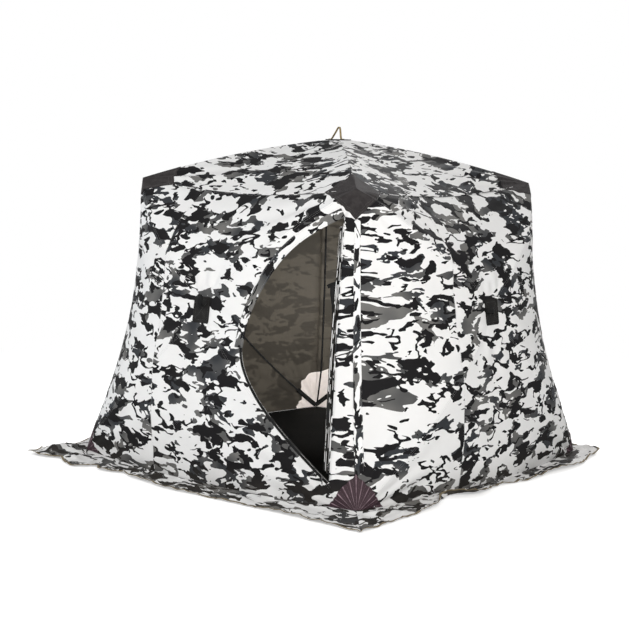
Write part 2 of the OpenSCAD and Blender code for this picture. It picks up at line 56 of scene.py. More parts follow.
# Sizes of what the looks add. The patches' sizes run along the upright corner edge, the pole, the
# hem or eave, and the roof's ridge
CLOTH = 0.0009
COVER_W, COVER_H, PEAK_COVER = 0.116, 0.136, 0.110
TOP_DOWN, TOP_POLE, TOP_SIDE, TOP_ROOF = 0.155, 0.120, 0.225, 0.235
FAN_UP, FAN_POLE, FAN_SIDE = 0.180, 0.152, 0.192
FLAP_FOLD, FLAP_OUT, TIE_AT = 0.0105, 0.022, 0.42
SEAM, SEAM_JUMP = -0.31, 2.37
STRAP_TURNS = {"front": 190, "right": 100, "back": 190, "left": 190}

LEAN = math.atan((BASE_W - EAVE_W) / 2 / EAVE_H)
HUB_Y = BASE_W / 2 - HUB_H * math.tan(LEAN) + HUB_OUT
DIAGONAL_LOW = math.sqrt((BASE_W / 2) ** 2 + (BASE_W / 2 - HUB_Y) ** 2 + HUB_H ** 2)
DIAGONAL_TOP = math.sqrt((EAVE_W / 2) ** 2 + (EAVE_W / 2 - HUB_Y) ** 2 + (EAVE_H - HUB_H) ** 2)
DIAGONAL_ROOF = math.sqrt(2 * (EAVE_W / 2) ** 2 + (PEAK_H - EAVE_H) ** 2)
CORE = np.array([0, 0, 0.6])
FRONT, RIGHT, BACK, LEFT = 0, 90, 180, 270
WALLS = {"front": FRONT, "right": RIGHT, "back": BACK, "left": LEFT}
OUT, UP = np.array([0, -1.0, 0]), np.array([0, 0, 1.0])

# The skirt on the ground: its four tips, each at the right-hand end of a wall, how far its edge
# bulges (place along the wall, width, more reach), where it lifts (place, width, height) and where
# it lies in a heap (x, y, width, height)
SKIRT_SEW = 0.012
SKIRT_TIPS = {"front": (1.245, -1.270), "right": (1.140, 1.060), "back": (-1.215, 1.225),
              "left": (-1.175, -1.285)}
SKIRT_BULGES = {
    "front": ((-0.97, 0.07, -0.070), (-0.76, 0.07, 0.030), (-0.655, 0.050, -0.060),
              (-0.43, 0.08, -0.050), (0.0, 0.18, 0.036), (0.35, 0.20, 0.012)),
    "right": ((-0.47, 0.10, -0.080), (-0.28, 0.09, 0.026), (-0.02, 0.10, -0.018),
              (0.22, 0.15, 0.036), (0.65, 0.30, 0.068)),
    "back": ((-0.35, 0.75, 0.150), (0.10, 0.25, -0.020), (0.70, 0.30, 0.050)),
    "left": ((-0.45, 0.30, 0.020), (0.10, 0.60, 0.040), (0.55, 0.25, 0.020)),
}
SKIRT_LIFTS = {"front": ((-0.15, 0.20, 0.010), (0.80, 0.15, 0.008)),
               "right": ((-0.42, 0.22, 0.030), (0.50, 0.20, 0.014)),
               "back": ((0.20, 0.25, 0.016),), "left": ((-0.20, 0.25, 0.016),)}
SKIRT_MOUNDS = ((-1.06, -1.10, 0.11, 0.050), (-0.86, -1.20, 0.06, 0.024), (1.08, 1.06, 0.12, 0.026))


# ---------------- camera, lights, backdrop

WHITE = (1, 1, 1, 1)
WORLD_LIGHT, FLOOR_REACH, FLOOR_DOWN, FLOOR_FADE = 0.44, 14.0, -0.001, (2.2, 4.5)


def camera():
    """The photograph's viewpoint: from the front right, a little above the peak."""
    ahead = Vector((-0.64912, 0.75064, -0.12319))
    above = Vector((-0.09305, 0.08237, 0.99225))
    side = ahead.cross(above)
    data = bpy.data.cameras.new("camera")
    data.sensor_width, data.lens = 36.0, 86.39
    view = bpy.data.objects.new("camera", data)
    turn = Matrix((side, above, -ahead)).transposed().to_4x4()
    view.matrix_world = Matrix.Translation((5.5237, -6.5675, 1.8628)) @ turn
    bpy.context.scene.collection.objects.link(view)
    bpy.context.scene.camera = view


def lamp(name, place, target, size, power, colour, spread=180):
    """A round soft lamp that points at a target. Spread is its cone, in degrees."""
    data = bpy.data.lights.new(name, "AREA")
    data.shape, data.size, data.energy, data.color = "DISK", size, power, colour
    data.spread = math.radians(spread)
    lit = bpy.data.objects.new(name, data)
    lit.location = place
    lit.rotation_euler = (Vector(target) - Vector(place)).to_track_quat("-Z", "Y").to_euler()
    bpy.context.scene.collection.objects.link(lit)


def lamps():
    """Key, fill and rear lamps, and a small one inside the hut that lights its far corner."""
    lamp("key", (6.0, -5.6, 4.0), (0, 0, 0.7), 3.6, 545, (1.0, 0.985, 0.96))
    lamp("inside", (0.55, -0.55, 0.50), (-0.8, 0.8, 0.72), 0.30, 14, (1.0, 0.985, 0.96), 80)
    lamp("fill", (-5.5, -5.0, 3.4), (0, 0, 0.8), 4.5, 260, (0.95, 0.975, 1.0))
    lamp("rear", (-1.5, 6.0, 4.2), (0, 0, 1.0), 4.0, 230, (1.0, 1.0, 1.0))


def backdrop():
    """Soft light from all round, which shows as plain white to the camera and in reflections."""
    world = bpy.data.worlds.new("backdrop")
    world.use_nodes = True
    bpy.context.scene.world = world
    shade = Shade("backdrop", world.node_tree)
    path = shade.node("LightPath")
    seen = path.outputs["Is Camera Ray"]
    for other in ("Is Glossy Ray", "Is Transmission Ray"):
        seen = shade.math("MAXIMUM", seen, path.outputs[other])
    back = world.node_tree.nodes["Background"]
    back.inputs["Color"].default_value = WHITE
    shade.feed(back.inputs["Strength"], shade.spread(seen, 0.0, 1.0, WORLD_LIGHT, 1.0))


def studio_floor():
    """A pale floor that keeps the hut's shadow and runs out into the white backdrop."""
    mesh = bpy.data.meshes.new("floor")
    mesh.from_pydata([(x * FLOOR_REACH, y * FLOOR_REACH, 0) for x, y in
                      ((-1, -1), (1, -1), (1, 1), (-1, 1))], [], [(0, 1, 2, 3)])
    ground = bpy.data.objects.new("floor", mesh)
    ground.location.z = FLOOR_DOWN
    bpy.context.scene.collection.objects.link(ground)
    shade = Shade("studio_floor")
    pale = shade.node("BsdfDiffuse", {"Color": (0.82, 0.82, 0.82, 1)})
    glow = shade.node("Emission", {"Color": WHITE, "Strength": 0.42})
    lit = shade.node("AddShader", {0: pale.outputs[0], 1: glow.outputs[0]})
    white = shade.node("Emission", {"Color": WHITE, "Strength": 1.0})
    far = shade.spread(shade.vector_length(shade.place()), *FLOOR_FADE)
    shown = shade.node("MixShader", {0: far, 1: lit.outputs[0], 2: white.outputs[0]})
    seen = shade.node("LightPath").outputs["Is Camera Ray"]
    both = shade.node("MixShader", {0: seen, 1: pale.outputs[0], 2: shown.outputs[0]})
    mesh.materials.append(shade.finish(both.outputs[0]))


# ---------------- materials

class Shade:
    """The node tree of a new material, or another tree, with short calls for what finishes share."""

    def __init__(self, name, tree=None):
        self.tree = tree
        if tree is None:
            self.material = bpy.data.materials.new(name)
            self.material.use_nodes = True
            self.tree = self.material.node_tree
            self.tree.nodes.clear()

    def feed(self, socket, value):
        if isinstance(value, bpy.types.NodeSocket):
            self.tree.links.new(value, socket)
        else:
            socket.default_value = value

    def node(self, kind, inputs=None, **settings):
        made = self.tree.nodes.new("ShaderNode" + kind)
        for key, value in settings.items():
            setattr(made, key, value)
        for key, value in (inputs or {}).items():
            self.feed(made.inputs[key], value)
        return made

    def math(self, operation, a, b=0.0):
        return self.node("Math", {0: a, 1: b}, operation=operation).outputs[0]

    def vector(self, operation, a, b=(0, 0, 0)):
        return self.node("VectorMath", {0: a, 1: b}, operation=operation).outputs[0]

    def vector_length(self, vector):
        return self.node("VectorMath", {0: vector}, operation="LENGTH").outputs["Value"]

    def scaled(self, vector, factor):
        return self.node("VectorMath", {0: vector, "Scale": factor}, operation="SCALE").outputs[0]

    def noise(self, place, scale, detail=2.0, roughness=0.5, colour=False):
        settings = {"Vector": place, "Scale": scale, "Detail": detail, "Roughness": roughness}
        return self.node("TexNoise", settings).outputs[int(colour)]

    def spread(self, value, low, high, to_low=0.0, to_high=1.0):
        limits = {"Value": value, "From Min": low, "From Max": high, "To Min": to_low,
                  "To Max": to_high}
        return self.node("MapRange", limits).outputs[0]

    def mix(self, share, a, b):
        return self.node("Mix", {0: share, 6: a, 7: b}, data_type="RGBA").outputs[2]

    def bump(self, height, distance, strength=1.0, normal=None):
        inputs = {"Height": height, "Distance": distance, "Strength": strength}
        if normal is not None:
            inputs["Normal"] = normal
        return self.node("Bump", inputs).outputs[0]

    def place(self):
        return self.node("TexCoord").outputs["Object"]

    def cut(self):
        """The place on the flat cloth, in metres."""
        return self.node("UVMap", uv_map="cloth").outputs["UV"]

    def principled(self, colour, roughness, normal=None, **more):
        inputs = {"Base Color": colour, "Roughness": roughness}
        if normal is not None:
            inputs["Normal"] = normal
        for key, value in more.items():
            inputs[key.replace("_", " ")] = value
        return self.node("BsdfPrincipled", inputs).outputs[0]

    def finish(self, surface):
        self.node("OutputMaterial", {"Surface": surface})
        return self.material


def grey(value, warm=0.0):
    """A grey, a little red with warm above 0 and a little blue below it."""
    return (value * (1 + warm), value, value * (1 - warm), 1)


def winter_print(shade, cloth):
    """The camouflage: white ground, ragged mid-grey islands, black blots and black twigs. Returns
    the masks of the grey and the black."""
    flat = shade.vector("MULTIPLY", cloth, (0.95, 1.75, 1.0))

    def shifted(place, scale, detail, roughness, by):
        wander = shade.noise(place, scale, detail, roughness, colour=True)
        return shade.scaled(shade.vector("SUBTRACT", wander, (0.5, 0.5, 0.5)), by)

    bent = shade.vector("ADD", flat, shifted(flat, 4.0, 2.0, 0.5, 0.20))
    ragged = shade.vector("ADD", bent, shifted(flat, 15.0, 1.5, 0.5, 0.040))

    def layer(offset, scale, detail, roughness):
        return shade.noise(shade.vector("ADD", ragged, offset), scale, detail, roughness)

    islands = layer((3.1, 7.7, 0.4), 6.5, 2.0, 0.5)
    blots = layer((13.1, 2.7, 1.4), 8.5, 2.0, 0.55)
    near_islands = shade.math("MULTIPLY", shade.math("SUBTRACT", islands, 0.5), 0.25)
    blot = shade.math("GREATER_THAN", shade.math("ADD", blots, near_islands), 0.563)
    middle = shade.math("SUBTRACT", layer((5.1, 22.7, 3.4), 5.5, 2.0, 0.5), 0.5)
    line = shade.math("LESS_THAN", shade.math("ABSOLUTE", middle), 0.026)
    patches = shade.noise(shade.vector("ADD", flat, (9.1, 12.7, 5.4)), 7.0, 1.0, 0.5)
    twig = shade.math("MULTIPLY", line, shade.math("GREATER_THAN", patches, 0.50))
    holes = shade.math("LESS_THAN", layer((1.1, 32.7, 8.4), 14.0, 2.0, 0.6), 0.60)
    island = shade.math("MULTIPLY", shade.math("GREATER_THAN", islands, 0.53), holes)
    return island, shade.math("MAXIMUM", blot, twig)


def seam_shift(shade, cloth):
    """The print jumps at the seam where two widths of cloth are sewn together."""
    past = shade.math("GREATER_THAN", shade.node("SeparateXYZ", {0: cloth}).outputs[0], SEAM)
    both_ways = shade.node("CombineXYZ", {0: past, 1: past}).outputs[0]
    return shade.vector("ADD", cloth, shade.scaled(both_ways, SEAM_JUMP))


def weave(shade, cloth, pitch):
    """Height of a plain weave with one thread each way a pitch."""
    split = shade.node("SeparateXYZ", {0: shade.scaled(cloth, math.pi / pitch)})
    return shade.math("MULTIPLY", shade.math("SINE", split.outputs[0]),
                      shade.math("SINE", split.outputs[1]))


def camo_outside():
    """The printed face of the cloth, dirty near the ground, its white tinted warm and cool in painted
    light and shade.
    """
    shade = Shade("winter_print_cloth")
    cloth = shade.cut()
    island, black = winter_print(shade, seam_shift(shade, cloth))
    # Painted light and shade: one broad noise mixes the white between a warm copy and a cool copy,
    # which stand in for sunlit and shaded cloth; the same noise also varies the roughness.
    painted_tint_and_gloss = shade.noise(shade.place(), 2.3, 4.0, 0.6)
    white = shade.mix(painted_tint_and_gloss, grey(0.82, 0.010), grey(0.88, -0.006))
    tone = shade.spread(shade.noise(cloth, 3.4, 2.0), 0.42, 0.62)
    slate = shade.mix(tone, (0.040, 0.043, 0.048, 1), (0.175, 0.172, 0.165, 1))
    colour = shade.mix(black, shade.mix(island, white, slate), (0.0150, 0.0145, 0.0155, 1))
    height = shade.node("SeparateXYZ", {0: shade.place()}).outputs[2]
    low = shade.spread(height, 0.16, 0.0, 0.0, 0.22)
    dirt = shade.math("MULTIPLY", low, shade.noise(shade.place(), 14.0, 5.0, 0.65))
    colour = shade.mix(dirt, colour, (0.20, 0.175, 0.14, 1))
    threads = shade.bump(weave(shade, cloth, 0.0012), 0.00012, 0.5)
    creases = shade.noise(cloth, 16.0, 5.0, 0.55)
    relief = shade.bump(creases, 0.006, 0.35, threads)
    rough = shade.spread(painted_tint_and_gloss, 0.3, 0.7, 0.50, 0.64)
    front = shade.principled(colour, rough, relief, Specular_IOR_Level=0.03)
    through = shade.node("BsdfTranslucent", {"Color": colour, "Normal": relief}).outputs[0]
    return shade.finish(shade.node("MixShader", {0: 0.22, 1: front, 2: through}).outputs[0])


def camo_inside():
    """The coated back of the cloth: grey-brown, with the print showing through it."""
    shade = Shade("coated_cloth_back")
    cloth = shade.cut()
    island, black = winter_print(shade, seam_shift(shade, cloth))
    pale, dark = (0.047, 0.0415, 0.033, 1), (0.034, 0.030, 0.024, 1)
    colour = shade.mix(shade.math("MAXIMUM", island, black), pale, dark)
    cloud = shade.noise(shade.place(), 5.0, 3.0)
    colour = shade.mix(shade.spread(cloud, 0.35, 0.65, 0.0, 0.4), colour, (0.039, 0.0345, 0.028, 1))
    relief = shade.bump(shade.noise(cloth, 20.0, 5.0, 0.6), 0.004, 0.3)
    front = shade.principled(colour, 0.7, relief, Specular_IOR_Level=0.15)
    through = shade.node("BsdfTranslucent", {"Color": (0.60, 0.54, 0.45, 1)}).outputs[0]
    return shade.finish(shade.node("MixShader", {0: 0.13, 1: front, 2: through}).outputs[0])


def woven(name, colour, worn, pitch=0.0014, roughness=0.75, sheer=0.0):
    """Plain heavy cloth or webbing, paler where it is worn. Sheer is how much light comes through."""
    shade = Shade(name)
    place = shade.place()
    cloth = shade.cut()
    wear = shade.spread(shade.noise(place, 26.0, 5.0, 0.65), 0.42, 0.72)
    threads = weave(shade, cloth, pitch)
    tone = shade.mix(wear, colour, worn)
    tone = shade.mix(shade.spread(threads, -1.0, 1.0, 0.0, 0.35), tone, worn)
    relief = shade.bump(threads, 0.0002, 0.8)
    relief = shade.bump(shade.noise(place, 60.0, 4.0, 0.6), 0.0015, 0.35, relief)
    front = shade.principled(tone, roughness, relief, Specular_IOR_Level=0.12)
    if sheer:
        through = shade.node("BsdfTranslucent", {"Color": tone}).outputs[0]
        front = shade.node("MixShader", {0: sheer, 1: front, 2: through}).outputs[0]
    return shade.finish(front)


def moulded(name, colour, roughness, metallic=0.0, grain=0.0004, scuff=(0.2, 0.2, 0.2, 1)):
    """Painted, moulded or plated hard pieces, scuffed a little."""
    shade = Shade(name)
    place = shade.place()
    marks = shade.spread(shade.noise(place, 70.0, 6.0, 0.7), 0.60, 0.72, 0.0, 0.5)
    rough = shade.spread(shade.noise(place, 25.0, 4.0), 0.3, 0.7, roughness - 0.08, roughness + 0.1)
    relief = shade.bump(shade.noise(place, 220.0, 3.0), grain, 0.4)
    return shade.finish(shade.principled(shade.mix(marks, colour, scuff), rough, relief,
                                         Metallic=metallic))


def spun(name, colour):
    """Sewing thread."""
    shade = Shade(name)
    fibre = shade.noise(shade.place(), 900.0, 2.0)
    tone = shade.mix(fibre, colour, tuple(0.7 * c for c in colour[:3]) + (1,))
    return shade.finish(shade.principled(tone, 0.7, shade.bump(fibre, 0.0003, 0.5)))


def pleated(name, deep, crest):
    """Cloth with a paler line, a painted highlight, along the top of each pleat; its cloth place counts
    pleats.
    """
    shade = Shade(name)
    place = shade.place()
    across = shade.node("SeparateXYZ", {0: shade.cut()}).outputs[0]
    ridge = shade.math("ABSOLUTE", shade.math("SINE", shade.math("MULTIPLY", across, math.pi)))
    cloud = shade.noise(place, 30.0, 4.0, 0.6)
    # Painted highlight: the crest colour is mixed in along the top of each pleat, where light would
    # catch the fold.
    line = shade.math("MULTIPLY", shade.spread(ridge, 0.955, 0.998), shade.spread(cloud, 0.3, 0.6))
    body = shade.mix(shade.noise(place, 9.0, 3.0), deep, tuple(0.55 * c for c in deep[:3]) + (1,))
    relief = shade.bump(shade.noise(place, 160.0, 3.0), 0.0008, 0.5)
    return shade.finish(shade.principled(shade.mix(line, body, crest), 0.7, relief,
                                         Specular_IOR_Level=0.25))


# ---------------- surfaces, as in the imported CAD frame

def mix(a, b, t):
    """From a at t = 0 to b at t = 1."""
    return a + (b - a) * t


def point(x, y, z):
    """Points from coordinates that may be numbers or arrays."""
    return np.stack(np.broadcast_arrays(*(np.asarray(v, float) for v in (x, y, z))), -1)


def arc_point(p, q, v, bow, r):
    """A place on the circular arc from p to q that bows towards v."""
    long = np.linalg.norm(q - p)
    along = (q - p) / long
    side = v - (v @ along) * along
    side = side / np.linalg.norm(side)
    radius = long * long / (8 * bow) + bow / 2
    rise = np.sqrt(radius ** 2 - (long * (r - 0.5)) ** 2) - radius + bow
    return p + (q - p) * r[..., None] + side * rise[..., None]


def low_corner(side):
    """The front wall's corner on the ground, left (-1) or right (1)."""
    return point(side * BASE_W / 2, -BASE_W / 2, 0)


def top_corner(side):
    """The front wall's corner at the eaves."""
    return point(side * EAVE_W / 2, -EAVE_W / 2, EAVE_H)


def plate_corner(side, level):
    """A corner of the plate over the wall's hub, low (-1) or high (1)."""
    w = level * PLATE_H / 2
    return point(side * PLATE_W / 2, w * math.sin(LEAN) - HUB_Y, HUB_H + w * math.cos(LEAN))


def peak_corner(side):
    """A front corner of the plate on the peak."""
    return point(side * PEAK_PLATE / 2, -PEAK_PLATE / 2, PEAK_H)


def corner_edge(side, s):
    """The upright edge from the ground (s = -1) to the eaves (s = 1), bowed inwards."""
    straight = mix(low_corner(side), top_corner(side), ((1 + s) / 2)[..., None])
    swell = np.clip(1 - s * s, 0, 1) ** 1.4
    return straight + point(-side, 1, 0) * (CORNER_BOW / math.sqrt(2) * swell)[..., None]


def hem_edge(s):
    """The wall's edge along the ground, bowed outwards."""
    return point(s * BASE_W / 2, -BASE_W / 2 - HEM_BOW * (1 - s * s), 0)


def eave_edge(s):
    """The edge between wall and roof. Its middle is pulled inwards and sags."""
    swell = 1 - s * s
    return point(s * EAVE_W / 2, EAVE_PULL * swell - EAVE_W / 2, EAVE_H - EAVE_SAG * swell)


def panel(p0, p1, c0, c1, v, bow, edge, r, s):
    """A facet between two poles, from the plate (r = 0) to its outer edge (r = 1)."""
    t = ((1 + s) / 2)[..., None]
    skin = mix(arc_point(p0, c0, v, bow, r), arc_point(p1, c1, v, bow, r), t)
    return skin + (edge - mix(c0, c1, t)) * (r * r)[..., None]


def on_bottom(r, s):
    return panel(plate_corner(-1, -1), plate_corner(1, -1), low_corner(-1), low_corner(1), OUT,
                 WALL_POLE_BOW, hem_edge(s), r, s)


def on_side(side, r, s):
    return panel(plate_corner(side, -1), plate_corner(side, 1), low_corner(side), top_corner(side),
                 OUT, WALL_POLE_BOW, corner_edge(side, s), r, s)


def on_top(r, s):
    return panel(plate_corner(-1, 1), plate_corner(1, 1), top_corner(-1), top_corner(1), OUT,
                 WALL_POLE_BOW, eave_edge(s), r, s)


def on_roof(r, s):
    return panel(peak_corner(-1), peak_corner(1), top_corner(-1), top_corner(1), UP,
                 ROOF_POLE_BOW, eave_edge(s), r, s)


# Each facet's surface, about half the width of its outer edge, its length from plate to edge, and
# half the width at its plate
PANELS = {
    "bottom": (on_bottom, BASE_W / 2, 0.90, PLATE_W / 2),
    "right": (lambda r, s: on_side(1, r, s), 0.79, 0.86, PLATE_H / 2),
    "top": (on_top, EAVE_W / 2, 0.70, PLATE_W / 2),
    "left": (lambda r, s: on_side(-1, r, s), 0.79, 0.86, PLATE_H / 2),
    "roof": (on_roof, EAVE_W / 2, 0.78, PEAK_PLATE / 2),
}


# ---------------- folds in the stretched cloth

def fan(x, y, at, between, count, phase, reach, height):
    """Folds that spread from a corner between two directions, and fade within its reach."""
    dx, dy = x - at[0], y - at[1]
    far = np.hypot(dx, dy)
    turn = np.clip((np.arctan2(dy, dx) - between[0]) / (between[1] - between[0]), 0, 1)
    swell = far / reach * np.exp(1 - far / reach)
    return height * swell * np.sin(math.pi * turn) * np.sin(2 * math.pi * (count * turn + phase))


def noise_at(points):
    """Smooth noise from -1 to 1 at each point of an array."""
    return np.array([noise.noise(p) for p in points.reshape(-1, 3).tolist()]).reshape(points.shape[:-1])


def waves(value, seed):
    """Smooth wandering along one direction, from -1 to 1."""
    return noise_at(point(value, seed * 7.31, 0.37))


def folds(kind, r, s, seed):
    """How far the cloth of a panel stands out from its stretched shape."""
    half, high, near = PANELS[kind][1:]
    x, y = s * mix(near, half, r), r * high
    draw = np.random.default_rng(seed)
    slope = math.atan2(high, half - near)
    lift = np.zeros_like(x)
    size = {"bottom": 0.0075, "roof": 0.0040}.get(kind, 0.0055)
    for end in (-1, 1):
        dx, dy = (x - end * half) * end, y - high
        for _ in range(2):
            lift += fan(dx, dy, (0, 0), (-math.pi + slope, -math.pi), draw.uniform(1.6, 3.4),
                        draw.uniform(0, 1), draw.uniform(0.16, 0.34), size * draw.uniform(0.6, 1))
        lift += fan(x - end * near, y, (0, 0), (math.pi / 2 - 1.1, math.pi / 2 + 1.1),
                    draw.uniform(2.0, 3.5), draw.uniform(0, 1), 0.13, 0.0035)
    from_edge = (1 - r) * high
    pucker = np.exp(-from_edge / 0.045) * np.clip(from_edge / 0.012, 0, 1)
    lift += 0.0035 * pucker * waves(x / 0.045, seed + 0.5)
    calm = np.clip((1 - np.abs(s)) / 0.10, 0, 1) * np.clip(r / 0.12, 0, 1)
    calm = calm * calm * (3 - 2 * calm)
    edge_calm = np.clip(from_edge / 0.02, 0, 1)
    sag = -0.010 * (1 - s * s) * 4 * r * (1 - r)
    return (lift + sag) * calm * edge_calm


def crumple(points, seed, height=0.0035, scale=0.16):
    """Soft random unevenness at a few sizes."""
    offset = Vector((seed * 3.7, seed * 1.9, seed * 5.3))
    return np.array([height * noise.noise((Vector(p) + offset) / scale)
                     + 0.35 * height * noise.noise((Vector(p) + offset) / (0.33 * scale))
                     for p in points.reshape(-1, 3)]).reshape(points.shape[:-1])


def facing(kind, r, s):
    """Unit normals of a panel before its folds, away from the hut."""
    make, step = PANELS[kind][0], 1e-3
    n = np.cross(make(r + step, s) - make(r - step, s), make(r, s + step) - make(r, s - step))
    n /= np.linalg.norm(n, axis=-1, keepdims=True)
    return n * np.sign(n @ (UP if kind == "roof" else OUT))[..., None]


def relaxed(kind, r, s, seed, lift=0.0):
    """Places on the folded cloth of a panel, lifted off it, and the same places before the folds."""
    r, s = np.broadcast_arrays(np.asarray(r, float), np.asarray(s, float))
    flat = PANELS[kind][0](r, s)
    high = PANELS[kind][2]
    calm = np.clip((1 - np.abs(s)) / 0.10, 0, 1) * np.clip(r / 0.12, 0, 1)
    calm = calm * np.clip((1 - r) * high / 0.03, 0, 1)
    rise = folds(kind, r, s, seed) + crumple(flat, seed) * calm + lift
    return flat + facing(kind, r, s) * rise[..., None], flat


# ---------------- meshes

def unit(vectors):
    return vectors / np.maximum(np.linalg.norm(vectors, axis=-1, keepdims=True), 1e-12)


def spans(points):
    """Lengths along a grid's rows and columns, as places on flat cloth."""
    down = np.linalg.norm(np.diff(points, axis=0), axis=-1).mean(1)
    over = np.linalg.norm(np.diff(points, axis=1), axis=-1).mean(0)
    lengths = [np.concatenate([[0], np.cumsum(steps)]) for steps in (down, over)]
    return np.stack(np.meshgrid(*lengths, indexing="ij"), -1)


def resampled(path, pitch):
    """Points along a path at an even pitch."""
    steps = np.concatenate([[0], np.cumsum(np.linalg.norm(np.diff(path, axis=0), axis=-1))])
    at = np.arange(pitch / 2, steps[-1], pitch)
    return np.stack([np.interp(at, steps, path[:, k]) for k in range(3)], -1)


def smooth_path(points, count):
    """A smooth curve through a few points."""
    p = np.asarray(points, float)
    p = np.concatenate([[2 * p[0] - p[1]], p, [2 * p[-1] - p[-2]]])
    at = np.linspace(0, len(points) - 1 - 1e-9, count)
    k = at.astype(int)
    t = (at - k)[:, None]
    a, b, c, d = p[k], p[k + 1], p[k + 2], p[k + 3]
    return 0.5 * (2 * b + (c - a) * t + (2 * a - 5 * b + 4 * c - d) * t ** 2
                  + (3 * b - a - 3 * c + d) * t ** 3)


def round_section(wide, thick, sides=10):
    turn = np.arange(sides) * 2 * math.pi / sides
    return np.stack([wide / 2 * np.cos(turn), thick / 2 * np.sin(turn)], -1)


def tape_section(wide, thick):
    """A flat section with rounded edges."""
    a, b, c = wide / 2, wide / 2 - 0.6 * thick, thick / 2
    return np.array([(a, 0), (b, c), (0, c), (-b, c), (-a, 0), (-b, -c), (0, -c), (b, -c)])


class Sheet:
    """Gathers grids of points into one mesh, and joins points that lie on each other."""

    def __init__(self):
        self.points, self.cloth, self.faces, self.slots = [], [], [], []
        self.count = 0

    def grid(self, points, cloth=None, slot=0):
        rows, cols = points.shape[:2]
        cloth = spans(points) if cloth is None else cloth
        at = self.count + np.arange(rows * cols).reshape(rows, cols)
        quads = np.stack([at[:-1, :-1], at[1:, :-1], at[1:, 1:], at[:-1, 1:]], -1).reshape(-1, 4)
        self.points.append(points.reshape(-1, 3))
        self.cloth.append(np.broadcast_to(cloth, points.shape[:2] + (2,)).reshape(-1, 2))
        self.faces += quads.tolist()
        self.slots += [slot] * len(quads)
        self.count += rows * cols

    def slab(self, outer, inner, cloth=None, slot=0, under=None, ring=False):
        """A closed layer between two grids of the same shape."""
        cloth = spans(outer) if cloth is None else cloth
        self.grid(outer, cloth, slot)
        self.grid(inner, cloth, slot if under is None else under)
        for end in (np.s_[:1], np.s_[-1:]):
            self.grid(np.concatenate([outer[end], inner[end]]), np.concatenate([cloth[end]] * 2), slot)
            if not ring:
                side = np.s_[:, end]
                self.grid(np.concatenate([outer[side], inner[side]], 1),
                          np.concatenate([cloth[side]] * 2, 1), slot)

    def polygon(self, points, faces, slot=0):
        self.points.append(points)
        self.cloth.append(points[:, [0, 2]])
        self.faces += [[self.count + i for i in face] for face in faces]
        self.slots += [slot] * len(faces)
        self.count += len(points)

    def sweep(self, path, hint, section, slot=0, scale=None):
        """An outline carried along a path, with its second direction towards hint."""
        ahead = unit(np.gradient(path, axis=0))
        side = unit(np.cross(ahead, np.broadcast_to(hint, path.shape)))
        up = np.cross(side, ahead)
        scale = np.ones(len(path)) if scale is None else scale
        a, b = np.append(section, section[:1], 0).T
        rings = side[:, None] * a[None, :, None] + up[:, None] * b[None, :, None]
        rings = path[:, None] + rings * scale[:, None, None]
        self.grid(rings, slot=slot)
        for end in (0, -1):
            self.polygon(rings[end, :-1], [list(range(len(section)))], slot)

    def stitches(self, path, up=None, pitch=0.007, long=0.0048, wide=0.0011, slot=0):
        """A row of stitches, each a short thread that dips into the cloth at both ends. They face
        up, or else away from the core of the hut."""
        middle = resampled(path, pitch)
        up = middle - CORE if up is None else up
        ahead = unit(np.gradient(middle, axis=0))
        side = unit(np.cross(ahead, np.broadcast_to(up, middle.shape)))
        over = np.cross(side, ahead)
        ends = [ahead * long / 2, side * wide / 2, over * wide / 2]
        corners = np.stack([middle + k * e for e in ends for k in (1, -1)], 1)
        faces = np.array([(a, b, c) for a in (0, 1) for b in (2, 3) for c in (4, 5)])
        at = np.arange(len(middle))[:, None, None] * 6
        self.polygon(corners.reshape(-1, 3), (at + faces).reshape(-1, 3).tolist(), slot)

    def take(self, part, angle):
        """Adds what another Sheet holds, moved to the wall at this angle."""
        self.faces += [[self.count + i for i in face] for face in part.faces]
        self.points += [turned(p, angle) for p in part.points]
        self.cloth += part.cloth
        self.slots += part.slots
        self.count += part.count

    def build(self, name, materials, open_sheet=False):
        points, cloth = np.concatenate(self.points), np.concatenate(self.cloth)
        mesh = bpy.data.meshes.new(name)
        mesh.from_pydata(points.tolist(), [], self.faces)
        corners = np.empty(len(mesh.loops), int)
        mesh.loops.foreach_get("vertex_index", corners)
        layer = mesh.uv_layers.new(name="cloth")
        layer.data.foreach_set("uv", cloth[corners].astype(np.float32).ravel())
        mesh.polygons.foreach_set("material_index", self.slots)
        mesh.polygons.foreach_set("use_smooth", [True] * len(self.faces))
        for material in materials:
            mesh.materials.append(material)
        work = bmesh.new()
        work.from_mesh(mesh)
        bmesh.ops.remove_doubles(work, verts=work.verts, dist=2e-5)
        bmesh.ops.recalc_face_normals(work, faces=work.faces)
        work.to_mesh(mesh)
        work.free()
        if open_sheet:
            face_out(mesh)
        made = bpy.data.objects.new(name, mesh)
        bpy.context.scene.collection.objects.link(made)
        return made


def face_out(mesh, centre=Vector((0, 0, 0.6))):
    """Makes the faces of an open sheet look away from the middle of the hut."""
    if sum((f.center - centre).dot(f.normal) * f.area for f in mesh.polygons) < 0:
        mesh.flip_normals()


def thicken(piece, thickness, lining=0):
    """Gives a sheet its thickness, inwards from the shown side, and applies it."""
    solid = piece.modifiers.new("thickness", "SOLIDIFY")
    solid.thickness, solid.offset, solid.material_offset = thickness, -1.0, lining
    graph = bpy.context.evaluated_depsgraph_get()
    done = bpy.data.meshes.new_from_object(piece.evaluated_get(graph))
    piece.modifiers.clear()
    old = piece.data
    piece.data = done
    bpy.data.meshes.remove(old)


def placed(piece, slot, *nodes):
    """Rides a piece on the hut and hides the CAD nodes that it stands for. The slot is not used."""
    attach(piece, "root")
    if nodes:
        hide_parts(*nodes)
    return piece


# ---------------- walls and roof

